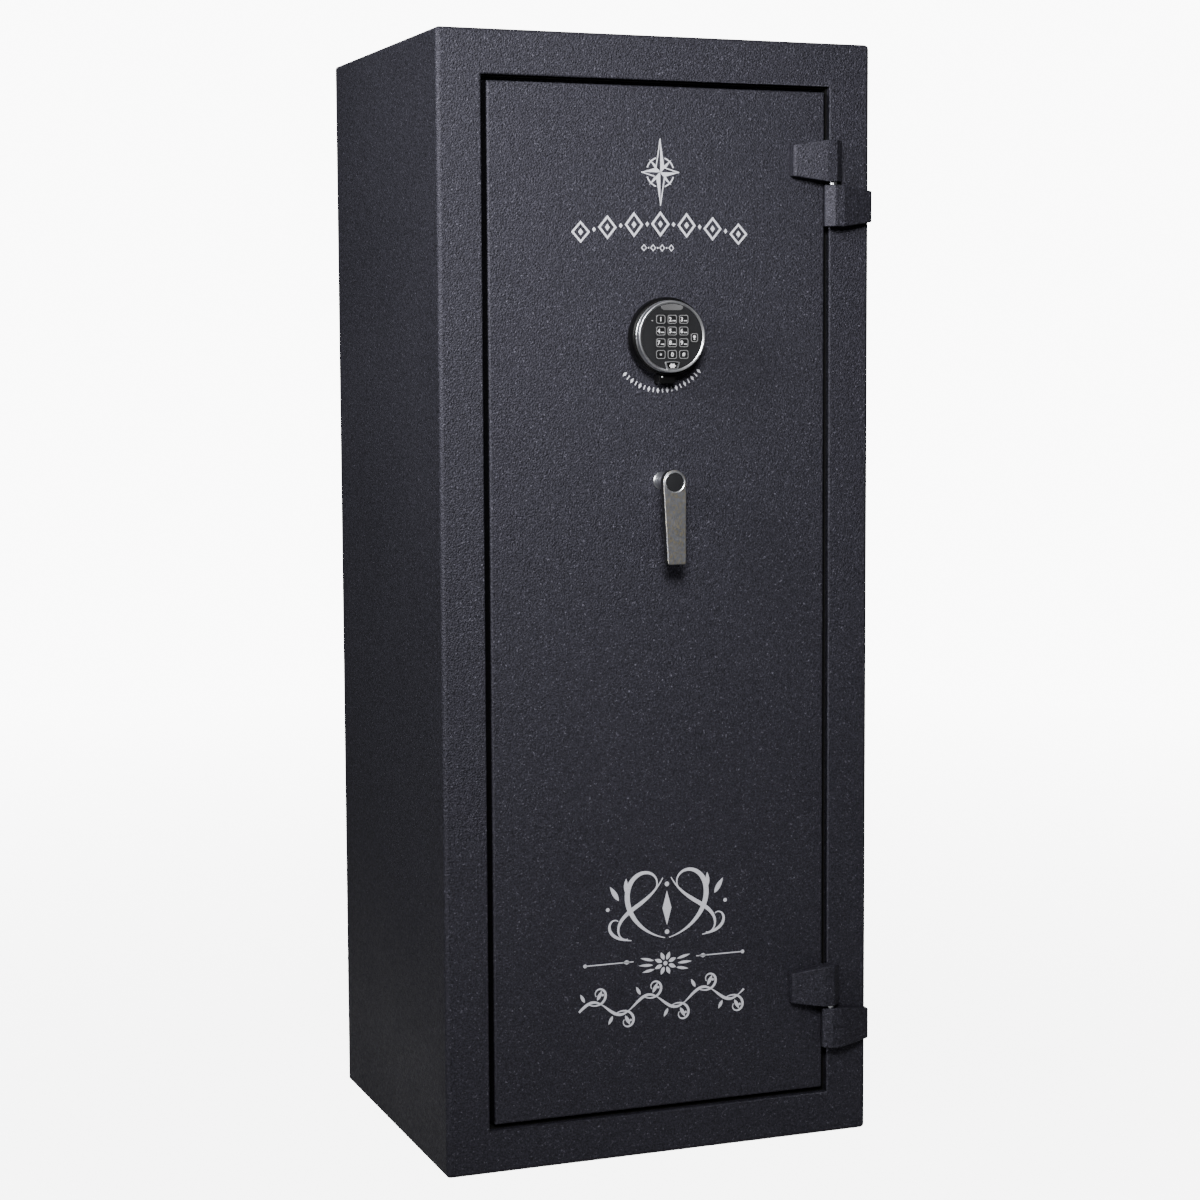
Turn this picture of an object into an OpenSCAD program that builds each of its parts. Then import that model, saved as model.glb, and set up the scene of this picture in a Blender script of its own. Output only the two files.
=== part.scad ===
// Gun safe: welded steel body, outward opening door on two external hinges, electronic keypad,
// lever handle with rack and pinion boltwork, fire board and carpet lining.
// Millimetres, +Z up, origin at the centre of the base, front face towards -Y, +X to the right
// of a person who faces the door. Depths are measured inwards from the front face of the body.

/* [Body] */
// Width of the body
body_w = 616; // [560:1:720]
// Height of the body
body_h = 1511; // [1480:1:1600]
// Depth of the body without hinges, keypad and handle
body_d = 508; // [460:1:640]
// Thickness of the body steel
body_t = 3; // [2:0.5:4]
// Thickness of the floor plate
floor_t = 4; // [3:0.5:6]
// Width of the front frame beside the door opening
frame_w = 60; // [54:1:66]
// Width of the front frame above and below the door opening
frame_h = 58.8; // [54:0.2:66]
// Depth of the folded jamb behind the front frame
jamb_depth = 35; // [32:1:36]
// How far the door stop reaches into the opening
stop_w = 12; // [8:1:12]
// Radius of the anchor holes in the floor
anchor_r = 7; // [5:0.5:8]
// Distance between the anchor holes across the width
anchor_x = 360; // [300:5:380]
// Distance between the anchor holes along the depth
anchor_y = 280; // [240:5:300]

/* [Lining] */
// Thickness of the fire board
board_t = 12.5; // [10:0.5:14]
// Thickness of the carpet lining
liner_t = 3; // [2:0.5:4]
// Depth at which the lining starts, behind the locking bars
liner_depth = 60; // [58:1:70]
// Thickness of the shelves and the divider
shelf_t = 12; // [10:1:16]
// Height of the full width shelf
top_shelf_z = 1302; // [1280:1:1320]
// Width of the barrel rest and the stock rest
rest_w = 49; // [40:1:49]
// Number of barrel notches in the rest
notch_count = 5; // [3:1:5]
// Radius of a barrel notch
notch_r = 14; // [12:1:16]

/* [Door] */
// Gap around the door
door_gap = 7.5; // [6.5:0.5:8]
// Thickness of the door skin
door_t = 4; // [3:0.5:5]
// Depth of the folded edge of the door skin
door_edge = 30; // [28:1:31]
// Depth of the boltwork housing behind the door face
housing_depth = 85; // [80:1:88]
// Thickness of the upholstered panel behind the boltwork
panel_t = 12; // [8:1:14]

/* [Hinges] */
// Distance of the hinge axis from the middle of the door
hinge_x = 247; // [246:0.5:248]
// Distance of the hinge axis in front of the front face
hinge_out = 13; // [13:0.5:15]
// Thickness of the hinge at its ridge
hinge_ridge = 24; // [22:0.5:24.5]
// Thickness of the hinge at its outer end
hinge_end = 15; // [12:0.5:18]
// Length of a hinge leaf from the axis
hinge_len = 59; // [52:1:60]
// Height of a hinge leaf at the knuckle
hinge_h = 56; // [48:1:60]
// Gap between the two leaves of a hinge
hinge_gap = 4; // [2:0.5:5]
// Height of the gap in the upper hinge
upper_hinge_z = 1321.5; // [1250:0.5:1340]
// Height of the gap in the lower hinge
lower_hinge_z = 185; // [170:0.5:260]
// Radius of the hinge pins
pin_r = 5.5; // [4:0.5:6]

/* [Keypad] */
// Height of the keypad centre
keypad_z = 1115; // [1105:1:1120]
// Radius of the keypad housing
keypad_r = 52; // [50:0.5:53]
// Distance of the keypad ring from the door
keypad_out = 42; // [41:0.5:44]
// Width of a key
key_w = 14; // [12:0.5:14.5]
// Height of a key
key_h = 12.5; // [12:0.5:13]
// Travel of a key
key_travel = 1; // [0.6:0.1:1.2]
// Horizontal distance between keys
key_pitch_x = 16.3; // [15:0.1:16.5]
// Vertical distance between keys
key_pitch_z = 15.4; // [14.5:0.1:15.6]

/* [Handle] */
// Height of the handle axis
handle_z = 923; // [915:1:926]
// Distance of the front of the handle head from the door
handle_out = 50; // [46:1:54]
// Length of the lever from its axis to its tip
lever_len = 109; // [100:1:130]
// Radius of the lever head
head_r = 16.5; // [15:0.5:18]
// Width of the lever at its tip
tip_w = 26; // [22:1:30]
// Outward tilt of the lever in degrees
lever_tilt = 4; // [0:0.5:6]
// Radius of the handle shaft
shaft_r = 6; // [5:0.5:7]

/* [Boltwork] */
// Module of the rack and pinion
gear_module = 2; // [2:1:2]
// Teeth on the pinion
pinion_teeth = 20; // [20:1:20]
// Height of each locking bar
bar_h = 110; // [80:5:120]
// Thickness of each locking bar
bar_t = 10; // [6:1:10]
// Travel of the lock bolt
lock_travel = 9; // [6:1:9]

/* [Hidden] */
$fn = 64;
eps = 0.1;

front = -body_d / 2;
half_w = body_w / 2;
in_x = half_w - body_t;
in_z = body_h - body_t;
in_y = body_d / 2 - body_t;
open_x = half_w - frame_w;
open_lo = frame_h;
open_hi = body_h - frame_h;
stop_t = 3;
weld_gap = 0.2;

board_x = in_x - board_t;
board_y = in_y - board_t;
board_z = in_z - board_t;
liner_x = board_x - liner_t;
liner_y = board_y - liner_t;
liner_z = board_z - liner_t;
carpet_z = floor_t + 4;
shelf_y = front + 124;
divider_x = 22;
shelf_zs = [300, 550, 800, 1050];
rest_z = 1040;
notch_pitch = 64;
notch_y0 = -82;
plug_x = -200;
plug_z = 120;
plug_r = 19;

door_x = open_x - door_gap;
door_lo = open_lo + door_gap;
door_hi = open_hi - door_gap;
backing_t = 3;
backing = door_edge - backing_t;
housing_x0 = -221;
housing_x1 = 228;
housing_wall = 4;
housing_lo = door_lo + 20;
housing_hi = door_hi - 20;

hinge_y = front - hinge_out;
knuckle_r = hinge_out - 0.4;
pin_clear = 0.05;
pin_up = 38;
pin_down = 40;
ball_r = pin_r - 0.2;

bar_depth = 44;
bar_zs = [330, 755, 1180];
bar_in = -230;
deadbar_out = 262;
carriage_t = 4;
carriage_depth = bar_depth + bar_t;
carriage_x0 = -120;
carriage_x1 = -40;
carriage_lo = 250;
carriage_hi = 1260;
pitch_r = gear_module * pinion_teeth / 2;
rack_pitch = PI * gear_module;
rack_z = handle_z - pitch_r;
bolt_throw = pitch_r * PI / 2;
pressure = 20;
backlash = 0.25;
gear_lo = bar_depth + 1.5;
gear_hi = carriage_depth - 0.5;
stud_x = -85;
stud_zs = [420, 640, 850, 1040];
stud_r = 4;

lock_w = 64;
lock_lo = 1060;
lock_hi = 1130;
lock_depth = 34;
lock_thick = 28;
bolt_w = 10;
bolt_lo = 1098;
bolt_hi = lock_hi + 3;
bolt_depth = carriage_depth - 3;
bolt_thick = 9;
arm_lo = bolt_hi + 2;
arm_hi = arm_lo + 25;
notch_deep = lock_travel + 2;
hard_w = 100;
hard_t = 4;
cable_r = 2;
cable_hole_r = 6;
bush_r = 8.5;
lever_t = 11;
cap_r = head_r - 3.2;
cap_depth = 4;
shaft_front = 6 - handle_out;

housing_front = 30.6;
ring_back = 30;
face_r = 43.4;
face_front = keypad_out - 1.5;
ring_r = 47.8;
key_front = face_front + 1.1;
key_t = 3;
drawer_w = 32;
drawer_back = 7;
drawer_thick = 22;
drawer_top = keypad_z + 6;
drawer_lo = keypad_z - 62;
tab_w = 23;
battery_w = 26.5;
battery_t = 17.5;
battery_h = 48.5;
KEYS = ["1", "2", "3", "4", "5", "6", "7", "8", "9", "star", "0", "hash"];

// A box from one corner to the opposite one
module block(lo, hi) {
    translate(lo) cube(hi - lo);
}

// A box given by its X and Z limits and its depths behind the front face
module deep_block(x0, x1, d0, d1, z0, z1) {
    block([x0, front + d0, z0], [x1, front + d1, z1]);
}

// A flat outline drawn in X and Z, between two depths
module deep_plate(d0, d1) {
    translate([0, front + d1, 0]) rotate([90, 0, 0]) linear_extrude(d1 - d0) children();
}

// A round bar along Y between two depths
module deep_bar(x, z, r, d0, d1) {
    translate([x, front + d0, z]) rotate([-90, 0, 0]) cylinder(r = r, h = d1 - d0);
}

// A body of revolution about a Y axis; the outline's Y is the distance in front of the face
module turned(x, z) {
    translate([x, front, z]) rotate([90, 0, 0]) rotate_extrude() children();
}

function arc(cx, cy, r, a0, a1, n) =
    [for (i = [0:n]) let (a = a0 + (a1 - a0) * i / n) [cx + r * cos(a), cy + r * sin(a)]];

function round_box(w, h, r) = concat(
    arc(w / 2 - r, h / 2 - r, r, 0, 90, 4),
    arc(r - w / 2, h / 2 - r, r, 90, 180, 4),
    arc(r - w / 2, r - h / 2, r, 180, 270, 4),
    arc(w / 2 - r, r - h / 2, r, 270, 360, 4)
);

// ---- body ----

module left_side() {
    color("#2c2d31") block([-half_w, front, 0], [-in_x, -front, body_h]);
}

module right_side() {
    color("#2c2d31") block([in_x, front, 0], [half_w, -front, body_h]);
}

module top_plate() {
    color("#2c2d31") block([-in_x, front, in_z], [in_x, -front, body_h]);
}

// The four anchor holes, for any layer of the floor
module anchor_holes(r) {
    for (x = [-anchor_x / 2, anchor_x / 2], y = [-anchor_y / 2, anchor_y / 2])
        translate([x, y, -1]) cylinder(r = r, h = 20);
}

module floor_plate() {
    color("#2c2d31") difference() {
        block([-in_x, front, 0], [in_x, -front, floor_t]);
        anchor_holes(anchor_r);
    }
}

// Hole for the power cord of a dehumidifier, for any layer of the back
module cord_hole(y0, y1) {
    translate([plug_x, y0, plug_z]) rotate([-90, 0, 0]) cylinder(r = plug_r, h = y1 - y0);
}

module back_plate() {
    color("#2c2d31") difference() {
        block([-in_x, in_y, floor_t], [in_x, -front, in_z]);
        cord_hole(in_y - 1, 1 - front);
    }
}

// An upright of the front frame: face, folded jamb and door stop; side is -1 or 1
module frame_upright(side) {
    mirror([side < 0 ? 1 : 0, 0, 0]) union() {
        deep_block(open_x, in_x, 0, body_t, floor_t, in_z);
        deep_block(open_x, open_x + body_t, 0, jamb_depth, open_lo, open_hi);
        deep_block(open_x - stop_w, open_x + eps, jamb_depth - stop_t, jamb_depth,
            open_lo + weld_gap, open_hi - weld_gap);
    }
}

// A rail across the front frame; edge is the opening's edge, way points out of the opening
module frame_rail(edge, way) {
    x = open_x - weld_gap;
    x_stop = x - stop_w;
    outer = way < 0 ? floor_t : in_z;
    z_jamb = edge + way * body_t;
    z_stop = edge - way * stop_w;
    z_root = edge + way * eps;
    deep_block(-x, x, 0, body_t, min(edge, outer), max(edge, outer));
    deep_block(-x, x, 0, jamb_depth, min(edge, z_jamb), max(edge, z_jamb));
    deep_block(-x_stop, x_stop, jamb_depth - stop_t, jamb_depth, min(z_stop, z_root), max(z_stop, z_root));
}

module front_frame() {
    color("#303136") {
        frame_upright(-1);
        frame_upright(1);
        frame_rail(open_lo, -1);
        frame_rail(open_hi, 1);
    }
}

// Strips that swell in a fire and close the gap around the door
module heat_seal() {
    strip_t = 2;
    d0 = 10;
    d1 = 24;
    color("#111112") {
        deep_block(-open_x, strip_t - open_x, d0, d1, open_lo, open_hi);
        deep_block(open_x - strip_t, open_x, d0, d1, open_lo, open_hi);
        deep_block(strip_t + 1 - open_x, open_x - strip_t - 1, d0, d1, open_lo, open_lo + strip_t);
        deep_block(strip_t + 1 - open_x, open_x - strip_t - 1, d0, d1, open_hi - strip_t, open_hi);
    }
}

module fireboard_lining() {
    y0 = front + liner_depth + liner_t + 1;
    color("#cfc8bb") {
        block([-in_x, y0, floor_t], [-board_x, in_y, in_z]);
        block([board_x, y0, floor_t], [in_x, in_y, in_z]);
        block([eps - board_x, y0, board_z], [board_x - eps, in_y, in_z]);
        difference() {
            block([eps - board_x, board_y, floor_t], [board_x - eps, in_y, board_z - eps]);
            cord_hole(board_y - 1, in_y + 1);
        }
    }
}

// Carpet on one side wall, turned over the front edge of the fire board
module side_liner(side) {
    y0 = front + liner_depth;
    mirror([side < 0 ? 1 : 0, 0, 0]) union() {
        block([liner_x, y0, carpet_z], [board_x, liner_y, liner_z]);
        block([liner_x, y0, carpet_z], [in_x, y0 + liner_t, liner_z]);
    }
}

module wall_liners() {
    y0 = front + liner_depth;
    color("#8d8d8f") {
        side_liner(-1);
        side_liner(1);
        block([-liner_x, y0, liner_z + eps], [liner_x, liner_y, board_z]);
        difference() {
            block([-liner_x, liner_y + eps, carpet_z], [liner_x, board_y, board_z]);
            cord_hole(liner_y - 1, board_y + 1);
        }
    }
}

module floor_carpet() {
    color("#7f7f82") difference() {
        block([-liner_x, front + jamb_depth + 5, floor_t], [liner_x, liner_y, carpet_z]);
        anchor_holes(anchor_r + 5);
    }
}

module shelf_divider() {
    color("#8d8d8f") block([divider_x, shelf_y, carpet_z], [divider_x + shelf_t, liner_y, top_shelf_z]);
}

module shelves() {
    side = 0.5;
    color("#8d8d8f") {
        for (z = shelf_zs)
            block([divider_x + shelf_t + side, shelf_y, z], [liner_x - side, liner_y - side, z + shelf_t]);
        block([side - liner_x, shelf_y, top_shelf_z], [liner_x - side, liner_y - side, top_shelf_z + shelf_t]);
    }
}

// Small brackets under the shelves
module shelf_clips() {
    w = 8;
    h = 6;
    ys = [shelf_y + 40, liner_y - 60];
    color("silver") for (y = ys) {
        for (z = shelf_zs, x = [divider_x + shelf_t, liner_x - w])
            block([x, y, z - h], [x + w, y + 20, z]);
        for (x = [-liner_x, liner_x - w])
            block([x, y, top_shelf_z - h], [x + w, y + 20, top_shelf_z]);
    }
}

module barrel_rest() {
    x1 = rest_w - liner_x;
    color("#77777a") difference() {
        block([-liner_x, shelf_y, rest_z], [x1, liner_y, rest_z + 20]);
        for (i = [0:notch_count - 1]) {
            y = notch_y0 + i * notch_pitch;
            translate([x1 - notch_r, y, rest_z - 1]) cylinder(r = notch_r, h = 22);
            block([x1 - notch_r, y - notch_r + 2, rest_z - 1], [x1 + 1, y + notch_r - 2, rest_z + 21]);
        }
    }
}

module stock_rest() {
    color("#77777a") block([-liner_x, shelf_y, carpet_z], [rest_w - liner_x, liner_y, carpet_z + 30]);
}

module cord_hole_plug() {
    flange = 1.5;
    color("#141415") translate([plug_x, board_y, plug_z]) rotate([-90, 0, 0]) union() {
        cylinder(r = plug_r - 0.3, h = -front - board_y);
        translate([0, 0, -front - board_y]) cylinder(r = plug_r + 5, h = flange);
    }
}

// ---- hinges ----

// Plan of a leaf, drawn for the door side: X from the axis, Y as the distance in front of the face
module leaf_plan() {
    polygon([
        [-hinge_len, 0], [-hinge_len, hinge_end], [-12.5, hinge_ridge], [1.5, hinge_ridge],
        [knuckle_r - 0.3, hinge_out + 2.2], [knuckle_r - 0.3, hinge_out], [0, hinge_out], [-8, 0]
    ]);
}

// Front outline of a leaf, from its foot at the gap
module leaf_outline() {
    slope = (hinge_h - 42) / 2;
    polygon([
        [-hinge_len - 1, slope], [-12.5, 0], [knuckle_r + 1, 0], [knuckle_r + 1, hinge_h],
        [-12.5, hinge_h], [-hinge_len - 1, hinge_h - slope]
    ]);
}

// One leaf above its gap; the pin hole is through the lower part
module hinge_leaf(hole_r, hole_h) {
    difference() {
        union() {
            intersection() {
                mirror([0, 1, 0]) linear_extrude(hinge_h) leaf_plan();
                translate([0, 1, 0]) rotate([90, 0, 0]) linear_extrude(40) leaf_outline();
            }
            translate([0, -hinge_out, 0]) cylinder(r = knuckle_r, h = hinge_h);
        }
        translate([0, -hinge_out, -1]) cylinder(r = hole_r, h = hole_h + 1);
    }
}

module hinge_door_leaves() {
    color("#303136") for (z = [lower_hinge_z, upper_hinge_z])
        translate([hinge_x, front, z + hinge_gap / 2])
            hinge_leaf(pin_r + pin_clear, pin_up + 2 * ball_r + 0.2);
}

// The frame leaf is the door leaf turned over
module hinge_frame_leaves() {
    color("#303136") for (z = [lower_hinge_z, upper_hinge_z])
        translate([hinge_x, front, z - hinge_gap / 2]) rotate([0, 180, 0])
            hinge_leaf(pin_r, pin_down);
}

module hinge_pins() {
    color("#c9cbcf") for (z = [lower_hinge_z, upper_hinge_z])
        translate([hinge_x, hinge_y, z - hinge_gap / 2 - pin_down])
            cylinder(r = pin_r, h = pin_down + hinge_gap + pin_up);
}

module hinge_bearings() {
    color("#d6d8dc") for (z = [lower_hinge_z, upper_hinge_z])
        translate([hinge_x, hinge_y, z + hinge_gap / 2 + pin_up + ball_r + 0.05]) sphere(r = ball_r);
}

// ---- door ----

module spindle_hole(r) {
    deep_bar(0, handle_z, r, -1, housing_depth);
}

module cable_hole() {
    deep_bar(0, keypad_z, cable_hole_r, -1, lock_depth + 1);
}

module door_skin() {
    color("#303136") difference() {
        deep_block(-door_x, door_x, 0, door_edge, door_lo, door_hi);
        deep_block(door_t - door_x, door_x - door_t, door_t, door_edge + 1, door_lo + door_t, door_hi - door_t);
        spindle_hole(bush_r);
        cable_hole();
    }
}

module door_fireboard() {
    g = door_t + 0.5;
    color("#cfc8bb") difference() {
        deep_block(g - door_x, door_x - g, door_t, backing, door_lo + g, door_hi - g);
        spindle_hole(bush_r);
        cable_hole();
    }
}

module door_backing_plate() {
    color("#3a3b40") difference() {
        deep_block(door_t - door_x, door_x - door_t, backing, door_edge, door_lo + door_t, door_hi - door_t);
        spindle_hole(bush_r);
        cable_hole();
    }
}

// Fixed bars behind the hinge side of the frame
module fixed_deadbars() {
    color("#a9abb0") for (z = bar_zs)
        deep_block(housing_x1 - 40, deadbar_out, bar_depth, bar_depth + bar_t, z - bar_h / 2, z + bar_h / 2);
}

// Slots for the bars in an upright wall of the boltwork housing
module bar_slots(x, side) {
    for (z = bar_zs)
        deep_block(x - 1, x + housing_wall + 1, bar_depth - side, bar_depth + bar_t + side,
            z - bar_h / 2 - side, z + bar_h / 2 + side);
}

module boltwork_housing() {
    x0 = housing_x0 + housing_wall + eps;
    x1 = housing_x1 - housing_wall - eps;
    color("#3a3b40") {
        difference() {
            deep_block(housing_x0, housing_x0 + housing_wall, door_edge, housing_depth, housing_lo, housing_hi);
            bar_slots(housing_x0, 0.5);
        }
        difference() {
            deep_block(housing_x1 - housing_wall, housing_x1, door_edge, housing_depth, housing_lo, housing_hi);
            bar_slots(housing_x1 - housing_wall, 0.1);
        }
        deep_block(x0, x1, door_edge, housing_depth, housing_lo, housing_lo + housing_wall);
        deep_block(x0, x1, door_edge, housing_depth, housing_hi - housing_wall, housing_hi);
    }
}

// Spacer, shoulder and head of each stud that guides the carriage
module guide_studs() {
    side = 0.2;
    head = carriage_depth + carriage_t + side;
    color("#b8bac0") for (z = stud_zs) union() {
        deep_bar(stud_x, z, stud_r + 3, door_edge, carriage_depth - side);
        deep_bar(stud_x, z, stud_r, door_edge, head + 1);
        deep_bar(stud_x, z, stud_r + 4, head, head + 3);
    }
}

module hard_plate() {
    color("#55575c") difference() {
        deep_block(-hard_w / 2, hard_w / 2, door_edge, door_edge + hard_t, keypad_z - hard_w / 2, keypad_z + hard_w / 2);
        cable_hole();
    }
}

module lock_case() {
    side = 0.15;
    color("#c2a25a") difference() {
        deep_block(-lock_w / 2, lock_w / 2, lock_depth, lock_depth + lock_thick, lock_lo, lock_hi);
        deep_block(-bolt_w / 2 - side, bolt_w / 2 + side, bolt_depth - side, bolt_depth + bolt_thick + side,
            bolt_lo - side, lock_hi + 1);
        deep_bar(0, keypad_z, cable_r, lock_depth - 1, lock_depth + 6);
    }
}

module spindle_bushing() {
    color("#b08d3c") difference() {
        deep_bar(0, handle_z, bush_r, 0, door_edge + 6);
        spindle_hole(shaft_r + 0.05);
    }
}

module door_back_panel() {
    color("#6f6f72") deep_block(housing_x0 + 8, housing_x1 - 4, housing_depth, housing_depth + panel_t,
        housing_lo + 4, housing_hi - 4);
}

module door_pockets() {
    d0 = housing_depth + panel_t;
    color("#1d1d1f") for (z = [180, 480, 780, 1080])
        deep_block(-185, 196, d0, d0 + 9, z, z + 220);
}

// ---- keypad ----

// Slot in which the battery drawer slides
module drawer_slot() {
    side = 0.4;
    deep_block(-drawer_w / 2 - side, drawer_w / 2 + side, -drawer_back - drawer_thick - side, side - drawer_back,
        keypad_z - keypad_r - 12, drawer_top + side);
}

module keypad_housing() {
    rim = keypad_r - 2;
    color("#0d0d0e") difference() {
        turned(0, keypad_z) polygon([
            [0, 0], [46, 0], [46.5, 5], [49.5, 9], [keypad_r, 14], [keypad_r, 25], [rim + 1, 29.5],
            [rim, housing_front], [ring_r, housing_front], [ring_r, ring_back], [face_r, ring_back],
            [face_r, 35], [0, 35]
        ]);
        deep_bar(0, keypad_z, cable_hole_r - 3, -6.2, 1);
        drawer_slot();
    }
}

// Chrome ring with a small plain plate at its foot
module keypad_bezel() {
    inner = face_r + 0.2;
    color("#d3d5da") {
        turned(0, keypad_z) polygon([
            [inner, ring_back], [ring_r, ring_back], [ring_r, keypad_out - 2], [ring_r - 0.8, keypad_out - 0.6],
            [ring_r - 2, keypad_out], [inner + 0.8, keypad_out], [inner, keypad_out - 0.8]
        ]);
        deep_plate(-keypad_out, -face_front) translate([0, keypad_z - 38]) polygon([
            [-7, -6.2], [7, -6.2], [9, -2.5], [11, 4.5], [4, 5.6], [-4, 5.6], [-11, 4.5], [-9, -2.5]
        ]);
    }
}

function key_x(i) = (i % 3 - 1) * key_pitch_x;
function key_z(i) = keypad_z - 0.5 + (1.5 - floor(i / 3)) * key_pitch_z;
light_key = [31.5, keypad_z - 1.5];
light_key_w = 11;

// Outline of a key at its place, larger all round by side
module key_outline(w, h, side) {
    polygon(round_box(w + 2 * side, h + 2 * side, 2.4 + side));
}

module keypad_face() {
    side = 0.2;
    floor_front = key_front - key_t - key_travel - 0.4;
    color("#1b1c1f") difference() {
        deep_bar(0, keypad_z, face_r, -face_front, -35);
        for (i = [0:11])
            translate([key_x(i), 0, key_z(i)]) deep_plate(-face_front - 1, -floor_front)
                key_outline(key_w, key_h, side);
        translate([light_key[0], 0, light_key[1]]) deep_plate(-face_front - 1, -floor_front)
            key_outline(light_key_w, key_h, side);
    }
}

// Status light and the lens shaped light window above the keys
module keypad_light_window() {
    top_r = face_r - 0.6;
    half_top = 22;
    color("#9a9ca1") {
        deep_plate(-face_front - 0.8, -face_front) translate([0, keypad_z]) polygon(concat(
            [[-15, 36.2], [-11.5, 34.4], [11.5, 34.4], [15, 36.2]], arc(0, 0, top_r, 90 - half_top, 90 + half_top, 8)));
        deep_bar(-27.5, keypad_z + 20.5, 1.1, -face_front - 0.6, -face_front);
    }
}

module keypad_cable() {
    color("#202022") deep_bar(0, keypad_z, cable_r, -6, lock_depth + 6);
}

// One key with its front at rest
module key(x, z, w) {
    color("#0b0b0c") translate([x, 0, z]) deep_plate(-key_front, key_t - key_front)
        key_outline(w, key_h, 0);
}

// Tray that carries the battery, with a pull tab at its foot
module battery_drawer() {
    side = 0.3;
    color("#0d0d0e") difference() {
        union() {
            deep_block(-drawer_w / 2, drawer_w / 2, -drawer_back - drawer_thick, -drawer_back,
                keypad_z - 48, drawer_top);
            deep_block(-tab_w / 2, tab_w / 2, -24, -4 - eps, drawer_lo, keypad_z - 51.5);
            deep_block(-tab_w / 2, tab_w / 2, -24, -drawer_back, keypad_z - 52, keypad_z - 43);
        }
        battery_space(side);
    }
}

module battery_space(side) {
    d1 = -drawer_back - 2;
    z0 = drawer_top - battery_h - 0.6;
    deep_block(-battery_w / 2 - side, battery_w / 2 + side, d1 - battery_t - side, d1 + side,
        z0 - side, z0 + battery_h + side);
}

module battery() {
    color("#8a6d2c") battery_space(0);
}

// ---- boltwork ----

// Horizontal slot in the carriage, long enough for the whole travel
module stud_slot(z) {
    r = stud_r + 0.3;
    run = bolt_throw + 0.6;
    deep_block(stud_x - 0.3, stud_x + run, carriage_depth - 1, carriage_depth + carriage_t + 1, z - r, z + r);
    for (x = [stud_x - 0.3, stud_x + run])
        deep_bar(x, z, r, carriage_depth - 1, carriage_depth + carriage_t + 1);
}

// Flat upright with an arm for the rack and an arm that the lock bolt blocks
module bolt_carriage() {
    d1 = carriage_depth + carriage_t;
    side = 1;
    color("#9fa1a6") difference() {
        union() {
            deep_block(carriage_x0, carriage_x1, carriage_depth, d1, carriage_lo, carriage_hi);
            deep_block(carriage_x1 - 1, 50, carriage_depth, d1, rack_z - 22, rack_z - 3);
            deep_block(carriage_x1 - 1, 46, carriage_depth, d1, arm_lo, arm_hi);
        }
        for (z = stud_zs) stud_slot(z);
        for (x = [0, bolt_throw])
            deep_block(x - bolt_w / 2 - side, x + bolt_w / 2 + side, carriage_depth - 1, d1 + 1,
                arm_lo - 1, arm_lo + notch_deep);
    }
}

module locking_bars() {
    color("#a9abb0") for (z = bar_zs)
        deep_block(bar_in, carriage_x0 + 30, bar_depth, bar_depth + bar_t, z - bar_h / 2, z + bar_h / 2);
}

function rack_tooth(k) = let (
    x = k * rack_pitch,
    w = rack_pitch / 4 - backlash / 4,
    up = 0.9 * gear_module,
    down = 1.25 * gear_module,
    s = tan(pressure)
) [[x - w - down * s, -down], [x - w + up * s, up], [x + w - up * s, up], [x + w + down * s, -down]];

module bolt_rack() {
    teeth = [for (k = [-2:7]) each rack_tooth(k)];
    end = 48;
    color("#8c8e94") deep_plate(gear_lo, carriage_depth) translate([0, rack_z])
        polygon(concat([[-18, -14], [-18, -1.25 * gear_module]], teeth,
            [[end, -1.25 * gear_module], [end, -14]]));
}

// Angle of the involute flank at radius r, from the middle of the tooth
function involute(a) = tan(a) * 180 / PI - a;
function flank(r, rb) = 90 / pinion_teeth - backlash / 4 / pitch_r * 180 / PI
    + involute(pressure) - involute(acos(min(1, rb / r)));
function polar(r, a) = [r * cos(a), r * sin(a)];

function pinion_tooth(c) = let (
    rb = pitch_r * cos(pressure),
    ra = pitch_r + gear_module,
    rf = pitch_r - 1.25 * gear_module,
    rs = [for (i = [0:5]) rb + (ra - rb) * i / 5]
) concat(
    [polar(rf, c - flank(rb, rb))],
    [for (r = rs) polar(r, c - flank(r, rb))],
    [for (i = [5:-1:0]) polar(rs[i], c + flank(rs[i], rb))],
    [polar(rf, c + flank(rb, rb))]
);

module handle_pinion() {
    step = 360 / pinion_teeth;
    color("#8c8e94") difference() {
        deep_plate(gear_lo, gear_hi) translate([0, handle_z])
            polygon([for (k = [0:pinion_teeth - 1]) each pinion_tooth(step / 2 - 90 + k * step)]);
        deep_bar(0, handle_z, shaft_r, gear_lo - 1, gear_hi + 1);
    }
}

module handle_shaft() {
    color("#b8bac0") union() {
        deep_bar(0, handle_z, shaft_r, shaft_front, carriage_depth + 8);
        deep_bar(0, handle_z, shaft_r + 4, gear_hi, gear_hi + 4);
    }
}

// Polished cone between the door and the lever
module handle_hub() {
    top = handle_out - lever_t;
    color("#cfd1d5") difference() {
        turned(0, handle_z) polygon([
            [0, 0.6], [11.6, 0.6], [11.9, 2.5], [11.3, 6], [11.3, 24], [head_r - 1.5, top], [0, top]
        ]);
        deep_bar(0, handle_z, shaft_r, -handle_out, 1);
    }
}

// Lever outline hanging from its axis
module lever_outline() {
    r = 2.5;
    half = tip_w / 2;
    polygon(concat(
        arc(0, 0, head_r, 0, 180, 24),
        arc(r - half, r - lever_len, r, 180, 270, 4),
        arc(half - r, r - lever_len, r, 270, 360, 4)
    ));
}

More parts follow.
